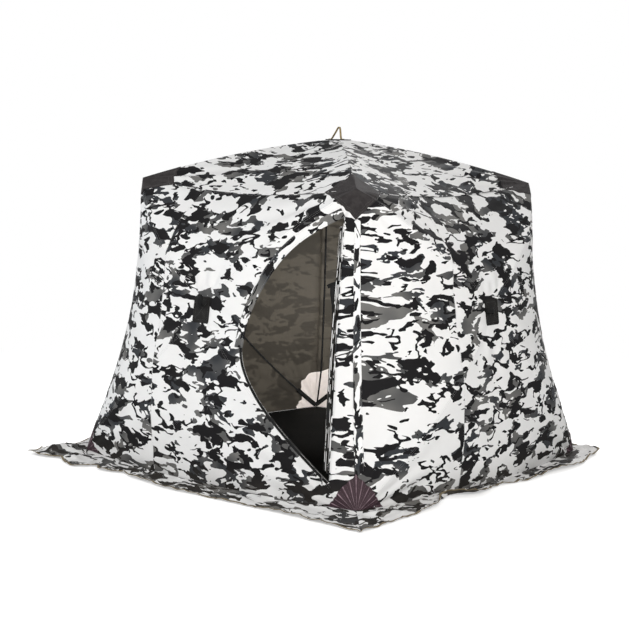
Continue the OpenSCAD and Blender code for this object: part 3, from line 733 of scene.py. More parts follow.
ROWS, COLUMNS = 52, 92
SEEDS = {
    "front": {"bottom": 10, "top": 11, "left": 12, "right": 17},
    "right": {"bottom": 20, "right": 21, "top": 22, "left": 23},
    "back": {"bottom": 30, "right": 31, "top": 32, "left": 33},
    "left": {"bottom": 40, "right": 41, "top": 42, "left": 43},
}
ROOF_SEEDS = {"front": 70, "right": 71, "back": 72, "left": 73}
PRINT_AT = {"front": 0.0, "right": 11.0, "back": 23.0, "left": 37.0}


def turned(points, angle):
    """Points of the front wall, moved to the wall at this angle."""
    c, d = math.cos(math.radians(angle)), math.sin(math.radians(angle))
    return points @ np.array([[c, d, 0], [-d, c, 0], [0, 0, 1]])


def graded(count):
    """From -1 to 1, closer together at the ends."""
    t = np.linspace(-1, 1, count + 1)
    return 0.62 * t + 0.38 * np.sin(t * math.pi / 2)


def wall_cloth(points, up):
    """Where a place on a wall lies on its flat cloth."""
    x, z = points[..., 0], points[..., 2]
    return np.stack([x, np.where(z < HUB_H, z, HUB_H + (z - HUB_H) * 1.12) + up], -1)


def roof_cloth(points, shift):
    """Where a place on a roof gore lies on its flat cloth."""
    slope = math.hypot(1, (PEAK_H - EAVE_H) / (EAVE_W / 2))
    return np.stack([points[..., 0] + shift, points[..., 1] * slope + 1.6 * shift], -1)


def hub_fill(kind):
    """The cloth behind the plate, from a panel's first row to the hub."""
    s = graded(COLUMNS)[None, :]
    rim = PANELS[kind][0](np.zeros_like(s), s)
    middle = point(0, 0, PEAK_H) if kind == "roof" else point(0, -HUB_Y, HUB_H)
    return mix(middle[None, None, :], rim, np.linspace(0, 1, 4)[:, None, None])


def plain_wall(wall):
    """A wall without a doorway, in one piece of cloth."""
    sheet, up = Sheet(), PRINT_AT[wall]
    s, r = np.meshgrid(graded(COLUMNS), np.linspace(0, 1, ROWS + 1))
    for kind, seed in SEEDS[wall].items():
        bent, flat = relaxed(kind, r, s, seed)
        sheet.grid(turned(bent, WALLS[wall]), wall_cloth(flat, up))
        fill = hub_fill(kind)
        sheet.grid(turned(fill, WALLS[wall]), wall_cloth(fill, up))
    return sheet.build(wall + "_wall_cloth", CAMO, open_sheet=True)


def door_side(s):
    """Share along the right-hand panel of the doorway's straight side, at height s."""
    return DOOR_FAR + DOOR_SLANT * s


def door_share(t, s):
    return mix(DOOR_NEAR, door_side(s), t)


def door_upper(t):
    """Height of the doorway's upper curve, from its blunt left end (t = 0) to its straight side."""
    return mix(DOOR_MID, DOOR_TOP, (1 - (1 - t) ** 4) ** 0.65)


def door_lower(t):
    """Height of the doorway's lower curve. It ends just above the hem."""
    r = door_share(t, -1)
    ends = on_side(1, r, np.ones_like(r)) - on_side(1, r, -np.ones_like(r))
    low = 2 * DOOR_LOW_GAP / np.linalg.norm(ends, axis=-1) - 1
    return mix(DOOR_MID, low, np.sqrt(1 - (1 - t) ** 8))


DOOR_T = (np.arange(45) / 44) ** 2
NEAR_R = DOOR_NEAR * np.arange(16) / 16
DOOR_FOOT = float(door_lower(np.ones(1))[0])


def front_rows(s):
    """Rows of the front wall at height s: up to the doorway, along it and across the jamb."""
    along = door_share(DOOR_T[:, None], s)
    across = mix(door_side(s), 1, np.linspace(0, 1, 7)[1:, None])
    before = np.broadcast_to(NEAR_R[:, None], (len(NEAR_R), along.shape[1]))
    return np.concatenate([before, along, across])


def front_wall():
    """The wall with the doorway, in one piece of cloth around it."""
    sheet, s, seeds = Sheet(), graded(COLUMNS)[None, :], SEEDS["front"]

    def lay(kind, r, s):
        bent, flat = relaxed(kind, r, s, seeds[kind])
        sheet.grid(bent, wall_cloth(flat, PRINT_AT["front"]))

    for kind, edge in (("bottom", -np.ones_like(s)), ("top", np.ones_like(s)), ("left", s)):
        lay(kind, front_rows(edge), s)
    for kind in PANELS:
        if kind != "roof":
            fill = hub_fill(kind)
            sheet.grid(fill, wall_cloth(fill, PRINT_AT["front"]))

    strip, t = np.linspace(0, 1, 29)[None, :], DOOR_T[:, None]
    for low, high, near_low, near_high in (
            (door_upper(t), np.ones_like(t), DOOR_MID, 1.0),
            (-np.ones_like(t), door_lower(t), -1.0, DOOR_MID)):
        before = mix(near_low, near_high, strip) * np.ones((len(NEAR_R), 1))
        beside = mix(low, high, strip)
        lay("right", np.concatenate([NEAR_R[:, None] * np.ones_like(strip), door_share(t, beside)]),
            np.concatenate([before, beside]))

    beside = np.concatenate([mix(-1, DOOR_FOOT, strip[0]),
                             mix(DOOR_FOOT, DOOR_TOP, np.linspace(0, 1, 71)[1:-1]),
                             mix(DOOR_TOP, 1, strip[0])])[None, :]
    lay("right", mix(door_side(beside), 1, np.linspace(0, 1, 7)[:, None]), beside)
    return sheet.build("front_wall_cloth", CAMO, open_sheet=True)


def roof():
    """The roof, four gores in one piece."""
    sheet = Sheet()
    s, r = np.meshgrid(graded(COLUMNS), np.linspace(0, 1, ROWS + 1))
    fill = hub_fill("roof")
    for k, (wall, angle) in enumerate(WALLS.items()):
        bent, flat = relaxed("roof", r, s, ROOF_SEEDS[wall])
        sheet.grid(turned(bent, angle), roof_cloth(flat, 3.3 * k + 2.7))
        sheet.grid(turned(fill, angle), roof_cloth(fill, 3.3 * k + 2.7))
    return sheet.build("roof_cloth", CAMO, open_sheet=True)


def tree_of(pieces):
    """The outer faces of the cloth, for casting rays at them."""
    corners, faces = [], []
    for piece in pieces:
        start = len(corners)
        corners += [v.co.copy() for v in piece.data.vertices]
        faces += [[start + i for i in f.vertices] for f in piece.data.polygons]
    return BVHTree.FromPolygons(corners, faces)


# ---------------- laying pieces on the cloth

def onto(points, lift):
    """The points moved along rays from the core of the hut until they lie this far off the cloth."""
    ray = points.reshape(-1, 3) - CORE
    far = np.linalg.norm(ray, axis=-1)
    ray = ray / far[:, None]
    for k, direction in enumerate(ray):
        hit = hull.ray_cast(Vector(CORE), Vector(direction))
        if hit[0] is not None and abs(hit[3] - far[k]) < 0.04:
            far[k] = hit[3]
    return (CORE + ray * (far + lift)[:, None]).reshape(points.shape)


def on_face(x, z, angle, lift):
    """Places on a wall at these widths and heights, this far off its cloth."""
    start = turned(point(x, -0.5, z), angle)
    out = Vector(turned(OUT, angle))
    flat = start.reshape(-1, 3).copy()
    for k, place in enumerate(flat):
        hit = hull.ray_cast(Vector(place), out)[0]
        if hit is None:
            hit = hull.find_nearest(Vector(place) + 0.6 * out)[0]
        flat[k] = hit
    return (flat + np.array(out) * np.ravel(lift)[:, None]).reshape(start.shape)


def square_steps(kind, r, s, away):
    """Steps in r and s that go one metre square to a line on a panel, away from a place."""
    make, step = PANELS[kind][0], 1e-3
    by_r = (make(r + step, s) - make(r - step, s)) / (2 * step)
    by_s = (make(r, s + step) - make(r, s - step)) / (2 * step)
    line = make(r, s)
    side = unit(np.cross(facing(kind, r, s), np.gradient(line, axis=0)))
    side = side * np.sign(((line - away) * side).sum(-1))[:, None]
    rr, ss, rs = (by_r ** 2).sum(-1), (by_s ** 2).sum(-1), (by_r * by_s).sum(-1)
    a, b = (side * by_r).sum(-1), (side * by_s).sum(-1)
    return (a * ss - b * rs) / (rr * ss - rs ** 2), (b * rr - a * rs) / (rr * ss - rs ** 2)


# ---------------- seams

def half_width(kind, r):
    """About half the width of a panel at r."""
    return mix(PANELS[kind][3], PANELS[kind][1], r)


def ridge_stitches(sheet):
    """Two rows of stitches along every ridge that hides a pole, and along the eaves."""
    r = np.linspace(0.06, 0.87, 200)
    s = np.linspace(-0.78, 0.78, 300)

    def row(kind, r, s, seed, angle):
        line = relaxed(kind, r, s, seed, 0.0003)[0]
        sheet.stitches(turned(line, angle), turned(UP if kind == "roof" else OUT, angle))

    for wall, angle in WALLS.items():
        for kind, seed in [*SEEDS[wall].items(), ("roof", ROOF_SEEDS[wall])]:
            for end in (-1, 1):
                row(kind, r, end * (1 - 0.007 / half_width(kind, r)), seed, angle)
        for kind, seed in (("top", SEEDS[wall]["top"]), ("roof", ROOF_SEEDS[wall])):
            row(kind, 1 - 0.008 / PANELS[kind][2] + 0 * s, s, seed, angle)


def width_seam_stitches(sheet):
    """The felled seam where two widths of printed cloth meet on a wall."""
    z = np.linspace(0.03, EAVE_H - EAVE_SAG - 0.02, 320)
    for angle in WALLS.values():
        for aside in (-0.004, 0.004):
            sheet.stitches(on_face(SEAM + aside + 0 * z, z, angle, 0.0003 + 0 * z),
                           turned(OUT, angle))


def eave_welt(sheet):
    """A thin welt along the eaves."""
    s = np.linspace(-0.82, 0.82, 160)
    for angle in WALLS.values():
        path = eave_edge(s) + np.array([0, -0.0010, 0.0004])
        sheet.sweep(turned(path, angle), turned(OUT, angle), round_section(0.0042, 0.0042, 8))


BAND_FRONT, BAND_NEXT = 0.007, 0.033    # its width on the wall and on the next wall


def corner_band(sheet, thread):
    """Strip of cloth folded over the upright corner edges, most of it on the next wall."""
    s = np.linspace(2 * (FAN_UP - 0.012) / EAVE_H - 1, 0.80, 190)[:, None]
    across = np.linspace(-BAND_FRONT, BAND_NEXT, 11)[None, :]
    width = np.where(across > 0, across * mix(1.2, 0.6, (1 + s) / 2), across)
    for angle in WALLS.values():
        r = 1 - np.abs(width) / PANELS["right"][2]
        here = turned(on_side(1, r, s + 0 * r), angle)
        following = turned(on_side(-1, r, s + 0 * r), angle + 90)
        flat = np.where((width > 0)[..., None], following, here)
        outer = onto(flat, 0.0016)
        sheet.slab(outer, onto(flat, 0.0004))
        for column in (1, -2):
            thread.stitches(outer[:, column])


# ---------------- hub covers, straps and loop

def rounded(wide, high, corner, count=72):
    """A rounded rectangle's outline, closed."""
    turn = np.linspace(0, 2 * math.pi, count + 1)
    c, d = np.cos(turn), np.sin(turn)
    far = 1 / np.maximum(np.abs(c) / (wide / 2), np.abs(d) / (high / 2))
    x, y = c * far, d * far
    inner_x = np.clip(x, corner - wide / 2, wide / 2 - corner)
    inner_y = np.clip(y, corner - high / 2, high / 2 - corner)
    away = np.stack([x - inner_x, y - inner_y], -1)
    long = np.linalg.norm(away, axis=-1, keepdims=True)
    away = away / np.maximum(long, 1e-9) * np.minimum(long, corner)
    return inner_x + away[:, 0], inner_y + away[:, 1]


def cover_height(share):
    """Section of a hub cover from its middle to its edge: a low dome, then the edge binding."""
    dome = 0.0030 * (1 - share ** 2)
    binding = 0.0016 * np.clip((share - 0.80) / 0.03, 0, 1) * np.clip((1.02 - share) / 0.05, 0, 1)
    return 0.0014 + dome + binding


def hub_covers(cloth, thread_cloth):
    """Dark covers over the hubs, domed on the walls and flat on the peak. Stitches hold each in a
    frame and a cross."""
    thread = Sheet()
    share = np.array([0, 0.15, 0.3, 0.45, 0.6, 0.72, 0.79, 0.81, 0.84, 0.90, 0.96, 0.99, 1.0])
    t = np.linspace(-1, 1, 60)
    for name, angle in [*WALLS.items(), ("roof", 0)]:
        sheet, at_peak = Sheet(), name == "roof"
        wide, high = (PEAK_COVER, PEAK_COVER) if at_peak else (COVER_W, COVER_H)

        def laid(x, y, lift, peak_lift):
            if at_peak:
                return onto(point(x, y, PEAK_H - 0.02 * np.hypot(x, y)), peak_lift)
            return on_face(x, HUB_H + y, angle, lift + 0 * x)

        x, y = (share[:, None] * side for side in rounded(wide, high, 0.012))
        sheet.slab(laid(x, y, cover_height(share)[:, None], 0.0040), laid(x, y, 0.0003, 0.0004),
                   np.stack([x, y], -1), ring=True)
        frame_x, frame_y = rounded(wide * 0.76, high * 0.76, 0.010, 160)
        rows = [(frame_x, frame_y, 0.76)]
        rows += [(t * wide * 0.34, slant * t * high * 0.34, 0.68 * np.abs(t)) for slant in (-1, 1)]
        for row_x, row_y, out in rows:
            thread.stitches(laid(row_x, row_y, 0.0016 + 0.0030 * (1 - out ** 2), 0.0042),
                            UP if at_peak else turned(OUT, angle), 0.006, 0.004)
        placed(sheet.build(name + "_hub_cover", [cloth]), "dark_patch", name + "_hub_plate")
    placed(thread.build("hub_cover_stitches", [thread_cloth]), "dark_patch")


def pull_straps(webbing):
    """A drooping loop of webbing on each wall hub."""
    sheet = Sheet()
    loop = [(0.004, -0.004), (0.020, -0.010), (0.036, -0.036), (0.034, -0.066), (0.022, -0.080),
            (0.013, -0.066), (0.013, -0.040), (0.004, -0.020)]
    for wall, angle in WALLS.items():
        out = np.array([0, -math.cos(LEAN), math.sin(LEAN)])
        turn = math.radians(STRAP_TURNS[wall])
        down = np.array([math.sin(turn), 0, math.cos(turn)])
        across = np.cross(out, down)
        base = point(0, -HUB_Y, HUB_H) + out * 0.004
        path = smooth_path([base + out * a + down * b for a, b in loop], 70)
        face = np.cross(across, unit(np.gradient(path, axis=0)))
        sheet.sweep(turned(path, angle), turned(face, angle), tape_section(STRAP_W, 0.0019))
    return placed(sheet.build("pull_strap_webbing", [webbing]), "webbing", "pull_straps")


def roof_loop(webbing):
    """The carrying loop on the peak: webbing that stands up in a leaning fin."""
    sheet = Sheet()
    path = smooth_path([(-0.050, 0, 0.001), (-0.040, 0, 0.012), (-0.016, 0, 0.044),
                        (0.0, 0, 0.066), (0.009, 0, 0.067), (0.014, 0, 0.052), (0.018, 0, 0.018),
                        (0.022, 0, 0.001)], 80)
    ahead = unit(np.gradient(path, axis=0))
    tape = tape_section(0.017, 0.0024)
    sheet.sweep(path + [0, 0, PEAK_H + 0.004], np.cross([[0, 1.0, 0]], ahead), tape)
    for end, way in ((path[0], -1), (path[-1], 1)):
        foot = end + np.linspace(0, 1, 10)[:, None] * [way * 0.016, 0, -0.0006]
        sheet.sweep(foot + [0, 0, PEAK_H + 0.0052], UP, tape)
    return placed(sheet.build("roof_loop_webbing", [webbing]), "webbing", "roof_loop")


# ---------------- corner patches

def toward_corner(edge, f):
    """Share or height at f of the way from the corner to an edge."""
    return 1 - f * (1 - edge)


def corner_sectors(sectors, angle, count, reach):
    """Columns of a patch around a corner, sector by sector. Each sector is a panel, its turn, and
    the shares and heights at its two ends; reach gives the rows' sizes from column number."""
    columns = []
    total = len(sectors) * count
    for k, (kind, turn, r_ends, s_ends, flip) in enumerate(sectors):
        for j in range(count + (k == len(sectors) - 1)):
            g = j / count
            f = reach((k * count + j) / total)
            r = toward_corner(mix(*r_ends, g), f)
            s = flip * toward_corner(mix(*s_ends, g), f)
            columns.append(turned(PANELS[kind][0](r, s), angle + turn))
    return np.stack(columns, 1)


def top_patches(cloth, thread_cloth):
    """Dark kites over the top corners, from the walls up onto the roof."""
    sheet, thread = Sheet(), Sheet()
    down, pole = 1 - 2 * TOP_DOWN / EAVE_H, 1 - TOP_POLE / DIAGONAL_TOP
    side, ridge = 1 - 2 * TOP_SIDE / EAVE_W, 1 - TOP_ROOF / DIAGONAL_ROOF
    half = [("right", 0, (1, pole), (down, 1), 1), ("top", 0, (pole, 1), (1, side), 1),
            ("roof", 0, (1, ridge), (side, 1), 1)]
    other = [("roof", 90, (ridge, 1), (1, side), -1), ("top", 90, (1, pole), (side, 1), -1),
             ("left", 90, (pole, 1), (1, down), 1)]
    rows = np.concatenate([[0.002], np.linspace(0.04, 0.93, 28), [0.955, 0.97, 0.99, 1.0]])
    rise = 0.0030 + 0.0008 * np.exp(-((rows - 0.93) / 0.03) ** 2)
    for angle in WALLS.values():
        flat = corner_sectors(half + other, angle, 17, lambda share: rows)
        outer = onto(flat, np.repeat(rise, flat.shape[1]))
        sheet.slab(outer, onto(flat, 0.0004), ring=True)
        for row in (-5, -8):
            thread.stitches(outer[row], None, 0.006, 0.004)
    placed(thread.build("top_patch_stitches", [thread_cloth]), "dark_patch")
    return placed(sheet.build("top_corner_covers", [cloth]), "dark_patch", "top_corner_patches")


PLEATS, FAN_COLUMNS = 13, 26


def lobes(share):
    """Outline of a pleated patch: a shell, with a step between its middle and its sides."""
    middle = 1 / (1 + math.exp((abs(share - 0.5) - 0.22) / 0.012))
    scallop = 0.030 * abs(math.sin(math.pi * PLEATS * share))
    return 0.88 + 0.10 * middle + scallop


def bottom_fans(cloth, thread_cloth):
    """Pleated fans over the bottom corners."""
    sheet, thread = Sheet(), Sheet()
    up, pole, side = 1 - 2 * FAN_UP / EAVE_H, 1 - FAN_POLE / DIAGONAL_LOW, 1 - 2 * FAN_SIDE / BASE_W
    half = [("bottom", 0, (1, pole), (side, 1), 1), ("right", 0, (pole, 1), (1, up), -1)]
    other = [("left", 90, (1, pole), (up, 1), -1), ("bottom", 90, (pole, 1), (1, side), -1)]
    rows = np.concatenate([[0.03], np.linspace(0.07, 0.97, 24), [1.0]])
    share = np.linspace(0, 1, 4 * FAN_COLUMNS + 1)
    crest = np.abs(np.sin(math.pi * PLEATS * share)) ** 0.8
    rise = 0.0012 + 0.0042 * rows[:, None] ** 0.7 * crest[None, :]
    cloth_place = np.stack(np.broadcast_arrays(share[None, :] * PLEATS, rows[:, None]), -1)
    for angle in WALLS.values():
        flat = corner_sectors(half + other, angle, FAN_COLUMNS, lambda at: rows * lobes(at))
        outer = onto(flat, np.ravel(rise))
        sheet.slab(outer, onto(flat, 0.0003), cloth_place)
        for k in range(1, PLEATS):
            column = round(k / PLEATS * (len(share) - 1))
            thread.stitches(outer[1:-1, column], None, 0.005, 0.0036)
    placed(thread.build("fan_stitches", [thread_cloth]), "pleated_patch")
    return placed(sheet.build("bottom_corner_fans", [cloth]), "pleated_patch", "bottom_corner_patches")


def inner_patches(cloth):
    """Pale patches inside the bottom corners, but not where the doorway is."""
    sheet = Sheet()
    turn = np.linspace(0, math.pi / 2, 45)[None, :]
    share = np.linspace(0.02, 1, 26)[:, None]
    up = 0.25
    for wall, angle in WALLS.items():
        for end, along_hem, swell in ((1, 0.34, 0.17), (-1, 0.15, -0.085)):
            if wall == "front" and end == 1:
                continue
            reach = share * (mix(along_hem, up, np.sin(turn) ** 2) + swell * np.sin(2 * turn) ** 2)
            from_edge = reach * np.cos(turn)
            z = np.maximum(reach * np.sin(turn), 0.004)
            x = end * (corner_edge(1, 2 * z / EAVE_H - 1)[..., 0] - 0.004 - from_edge)
            wave = 0.0010 * np.sin(from_edge / 0.024 * 2 * math.pi)
            sheet.slab(*(on_face(x, z, angle, wave - lift) for lift in (0.0080, 0.0092)))
    return placed(sheet.build("inner_corner_patches", [cloth]), "camo_cloth")


def inner_bindings(cloth):
    """Black tape over the raw seams inside the upright corners and under the eaves."""
    sheet = Sheet()
    s = np.linspace(-0.985, 0.97, 160)
    inward = np.array([-1, 1, 0]) / math.sqrt(2)
    aside = 0.012 + 0.026 * np.clip((s + 1) / 0.35, 0, 1)
    upright = corner_edge(1, s) + inward * 0.0085 - point(aside, 0 * s, 0)
    eave = eave_edge(np.linspace(-0.95, 0.95, 120)) + np.array([0, 0.0075, -0.0045])
    for angle in WALLS.values():
        sheet.sweep(turned(upright, angle), turned(inward, angle), tape_section(0.004, 0.011))
        sheet.sweep(turned(eave, angle), turned(np.array([0, 1, -0.6]), angle),
                    tape_section(0.004, 0.009))
    return placed(sheet.build("inner_seam_tape", [cloth]), "sleeve_cloth")


# ---------------- pole sleeves

def sleeve(sheet, p, q, towards, bow, ridge, seed, past, thick):
    """A cloth pocket around the end of the pole from p to q, with the flange that sews it to the
    ridge. Past is the gap between its tip and q."""
    length = np.linalg.norm(q - p)
    tip = 1 - past / length
    along = np.linspace(0, 1, 40)
    share = mix(tip - SLEEVE_L / length, tip, along)
    path = arc_point(p, q, towards, bow, share)
    size = 1 + 0.10 * np.exp(-((along - 0.02) / 0.03) ** 2) + 0.04 * waves(along * 15, seed)
    size = size * np.sqrt(np.clip(1 - np.clip((along - 0.93) / 0.07, 0, 1) ** 2, 0.03, 1))
    sheet.sweep(path, towards, round_section(thick, thick, 14), scale=size)
    outer = ridge(share) - unit(ridge(share) - path) * 0.0014
    start = path + unit(outer - path) * 0.007
    side = unit(np.cross(np.gradient(path, axis=0), outer - path)) * 0.0006
    web = mix(start[:, None], outer[:, None], np.linspace(0, 1, 4)[None, :, None])
    sheet.slab(web + side[:, None], web - side[:, None])


def pole_sleeves(cloth):
    """Sleeves over both ends of the wall poles' run along each ridge, and over the roof poles' ends."""
    upper, lower = Sheet(), Sheet()
    for angle in WALLS.values():
        for side in (-1, 1):
            for level, sheet, corner, depth, past, thick in (
                    (-1, lower, low_corner(side), LOW_END_SEAT, 0.020, 0.0290),
                    (1, upper, top_corner(side), TOP_END_SEAT, POLE_STOP - 0.003, SLEEVE_D)):
                start = plate_corner(side, level)
                part = Sheet()
                sleeve(part, start + [0, POLE_SEAT, 0], corner + [0, depth, 0], OUT, WALL_POLE_BOW,
                       lambda share: arc_point(start, corner, OUT, WALL_POLE_BOW, share),
                       angle + side + 3 * level, past, thick)
                sheet.take(part, angle)
        part, down = Sheet(), np.array([0, 0, ROOF_SEAT])
        sleeve(part, peak_corner(1) - down, top_corner(1) - down, UP, ROOF_POLE_BOW,
               lambda share: arc_point(peak_corner(1), top_corner(1), UP, ROOF_POLE_BOW, share),
               angle, POLE_STOP - 0.003, SLEEVE_D)
        upper.take(part, angle)
    placed(upper.build("upper_sleeve_cloth", [cloth]), "sleeve_cloth", "upper_pole_sleeves")
    placed(lower.build("lower_sleeve_cloth", [cloth]), "sleeve_cloth", "lower_pole_sleeves")


# ---------------- doorway

DOOR_CENTRE = on_side(1, np.array(0.65), np.array(0.0))
CURVE_T = np.linspace(0, 1, 90) ** 1.6


def curve_strip(upper, across, lift, t=CURVE_T):
    """A strip of the wall beside a curved edge of the doorway, its rows along the edge."""
    s = (door_upper if upper else door_lower)(t)
    r = door_share(t, s)
    dr, ds = square_steps("right", r, s, DOOR_CENTRE)
    a = np.asarray(across)[None, :]
    return relaxed("right", r[:, None] + dr[:, None] * a, s[:, None] + ds[:, None] * a,
                   SEEDS["front"]["right"], lift)[0]


def storm_flap(thread):
    """The printed strip that covers the zip along the upper curve."""
    sheet = Sheet()
    across = np.linspace(-0.005, 0.044, 13)
    t = np.linspace(0.0, 1, 150) ** 1.6
    ripple = 0.0012 * waves(np.add.outer(t * 30, across * 12), 5.5)
    puff = 0.0026 * np.sin(math.pi * np.clip((across + 0.005) / 0.049, 0, 1))
    outer = curve_strip(True, across, 0.0042 + ripple + puff, t)
    inner = curve_strip(True, across, 0.0032 + ripple + puff, t)
    cloth_place = spans(outer) + [6.1, 2.9]
    sheet.slab(outer, inner, cloth_place, under=1)
    for column in (2, 10, 11):
        thread.stitches(outer[:, column], OUT)
    return placed(sheet.build("door_storm_flap", CAMO), "camo_cloth")


def zip_pieces(tape, teeth, metal):
    """The zip's tape and coil along both curves, and its slider with the pull at the foot."""
    sheet, coil = Sheet(), Sheet()
    across = np.linspace(0.0005, ZIP_W, 6)
    for upper in (True, False):
        outer = curve_strip(upper, across, 0.0021)
        sheet.slab(outer, curve_strip(upper, across, 0.0006))
        edge = curve_strip(upper, [0.0012], 0.0030)[:, 0]
        coil.stitches(edge, OUT, 0.0042, 0.0034, 0.0030)
        coil.stitches(outer[:, 4], OUT)
    placed(sheet.build("door_zip_tape", [tape]), "zip_tape", "door_zip")
    placed(coil.build("door_zip_teeth", [teeth]), "zip_tape")

    slider = Sheet()
    at = curve_strip(False, [0.001], 0.0035)[-6:, 0]
    body = at[2] + unit(at[4] - at[0]) * np.linspace(-0.007, 0.007, 9)[:, None]
    slider.sweep(body, OUT, tape_section(0.010, 0.0055),
                 scale=1 - 0.25 * np.linspace(0, 1, 9) ** 2)
    pull = smooth_path([at[2] + OUT * 0.003, at[2] + OUT * 0.007 - UP * 0.006,
                        at[2] + OUT * 0.006 - UP * 0.022, at[2] + OUT * 0.004 - UP * 0.036], 16)
    slider.sweep(pull, OUT, tape_section(0.007, 0.0018))
    placed(slider.build("door_zip_slider", [metal]), "zip_tape")


def jamb_piping(cloth):
    """Piping in the printed cloth along the straight side."""
    sheet = Sheet()
    s = np.linspace(DOOR_FOOT, DOOR_TOP, 150)
    edge = relaxed("right", door_side(s), s, SEEDS["front"]["right"])[0]
    toward = unit(on_side(1, np.ones_like(s), s) - edge)
    sheet.sweep(edge - toward * 0.0010 + OUT * 0.0004, OUT, round_section(0.0060, 0.0052, 10),
                scale=1 + 0.05 * waves(s * 40, 2.2))
    return placed(sheet.build("door_side_piping", [cloth]), "camo_cloth")


def flap_frame(s):
    """Edge, inward direction, direction towards the corner edge and width of the gathered flap."""
    edge = on_side(1, door_side(s), s)
    inward = -facing("right", door_side(s), s)
    toward = unit(on_side(1, np.ones_like(s), s) - edge)
    return edge, inward, toward, mix(FLAP_W_LOW, FLAP_W_TOP, (1 + s) / 2)


def door_flap():
    """The door, gathered in folds behind the straight side of the doorway."""
    sheet = Sheet()
    across = np.linspace(0, 1, 9 * 13 + 1)[None, :]
    s = np.linspace(DOOR_FOOT + 0.06, DOOR_TOP - 0.06, 110)[:, None]
    s = s + 0.010 * waves(across * 9, 8.8) * (1 - (s + 1) / 2)
    edge, inward, toward, wide = flap_frame(s)
    drift = waves(np.broadcast_to(s * 3.1, s.shape) + across * 2.2, 3.3)
    phase = 2 * math.pi * (9 * across + 0.30 * drift)
    deep = FLAP_FOLD * np.sin(phase) * (0.82 + 0.18 * waves(s * 5 + across * 7, 6.1))
    aside = wide * (across - 0.5) + 0.0022 * np.sin(2 * phase)
    show = FLAP_SHOW + FLAP_OUT * (1 - s) / 2
    points = edge + toward * (wide / 2 - show + aside)[..., None]
    points = points + inward * (0.0187 + deep)[..., None]
    cloth_place = spans(points) + [15.0, 3.0]
    half = unit(np.cross(np.gradient(points, axis=0), np.gradient(points, axis=1))) * CLOTH / 2
    sheet.slab(points + half, points - half, cloth_place, under=1)
    return placed(sheet.build("door_flap_gathered", CAMO), "camo_cloth", "door_flap")


def flap_tie(webbing):
    """The strap that holds the gathered door, with its tail hanging in the doorway."""
    sheet = Sheet()
    s = np.array([TIE_AT])
    edge, inward, toward, wide = (v[0] for v in flap_frame(s))
    down = unit(on_side(1, door_side(s - 0.02), s - 0.02)[0] - edge)
    centre = edge + toward * (wide / 2 - FLAP_SHOW) + inward * 0.0187
    turn = np.linspace(0, 2 * math.pi, 49)[:-1]
    ring = centre + np.outer(np.cos(turn), toward) * (wide / 2 + 0.0035) \
        + np.outer(np.sin(turn), inward) * (FLAP_FOLD + 0.0030)
    ring = np.append(ring, ring[:2], 0)
    sheet.sweep(ring, ring - centre, tape_section(0.020, 0.0016))
    left = centre - toward * (wide / 2 + 0.005) + inward * 0.002
    bar = smooth_path([left - toward * 0.040 + down * 0.014, left - toward * 0.020 + down * 0.007,
                       left + toward * 0.012, left + toward * 0.040 - down * 0.006], 24)
    sheet.sweep(bar, -inward, tape_section(0.020, 0.0018))
    tail = smooth_path([left - toward * 0.006 + down * 0.006, left - toward * 0.009 + down * 0.050,
                        left - toward * 0.002 + down * 0.110, left + toward * 0.001 + down * 0.178], 60)
    twist = np.linspace(0, 1, 60)
    sheet.sweep(tail - inward * 0.002, mix(-inward, toward, 0.35 * twist[:, None]),
                tape_section(0.038, 0.0018), scale=mix(1, 0.42, twist))
    return placed(sheet.build("door_flap_tie", [webbing]), "webbing")


# ---------------- skirt and floor

def skirt_lines(wall, s):
    """Inner and outer lines of a skirt on the ground, in the frame of its wall."""
    angle = WALLS[wall]
    names = list(WALLS)
    left, right = SKIRT_TIPS[names[names.index(wall) - 1]], SKIRT_TIPS[wall]
    left, right = (turned(np.array([x, y, 0.0]), -angle) for x, y in (left, right))
    outer = mix(left, right, ((1 + s) / 2)[:, None])
    for at, wide, more in SKIRT_BULGES[wall]:
        near = np.exp(-((outer[:, 0] - at) / wide) ** 2)
        outer[:, 1] -= more * near * np.clip(4 * (1 - np.abs(s)), 0, 1)
    inner = []
    for place in hem_edge(s):
        ray = turned(unit(place), angle)
        start = np.array([0, 0, SKIRT_SEW])
        hit = hull.ray_cast(Vector(start), Vector(ray))[0]
        far = np.linalg.norm(place) * 0.9965 if hit is None else (hit - Vector(start)).length
        inner.append(start + unit(place) * (far + 0.0014))
    return np.array(inner), outer


def ground_noise(points, scale, seed):
    """Random heights from -1 to 1 that depend only on the place, as long and wide as scale says."""
    x, y = points[..., 0] / scale[0], points[..., 1] / scale[1]
    return noise_at(point(x + seed, y - seed, 1.7 * seed))


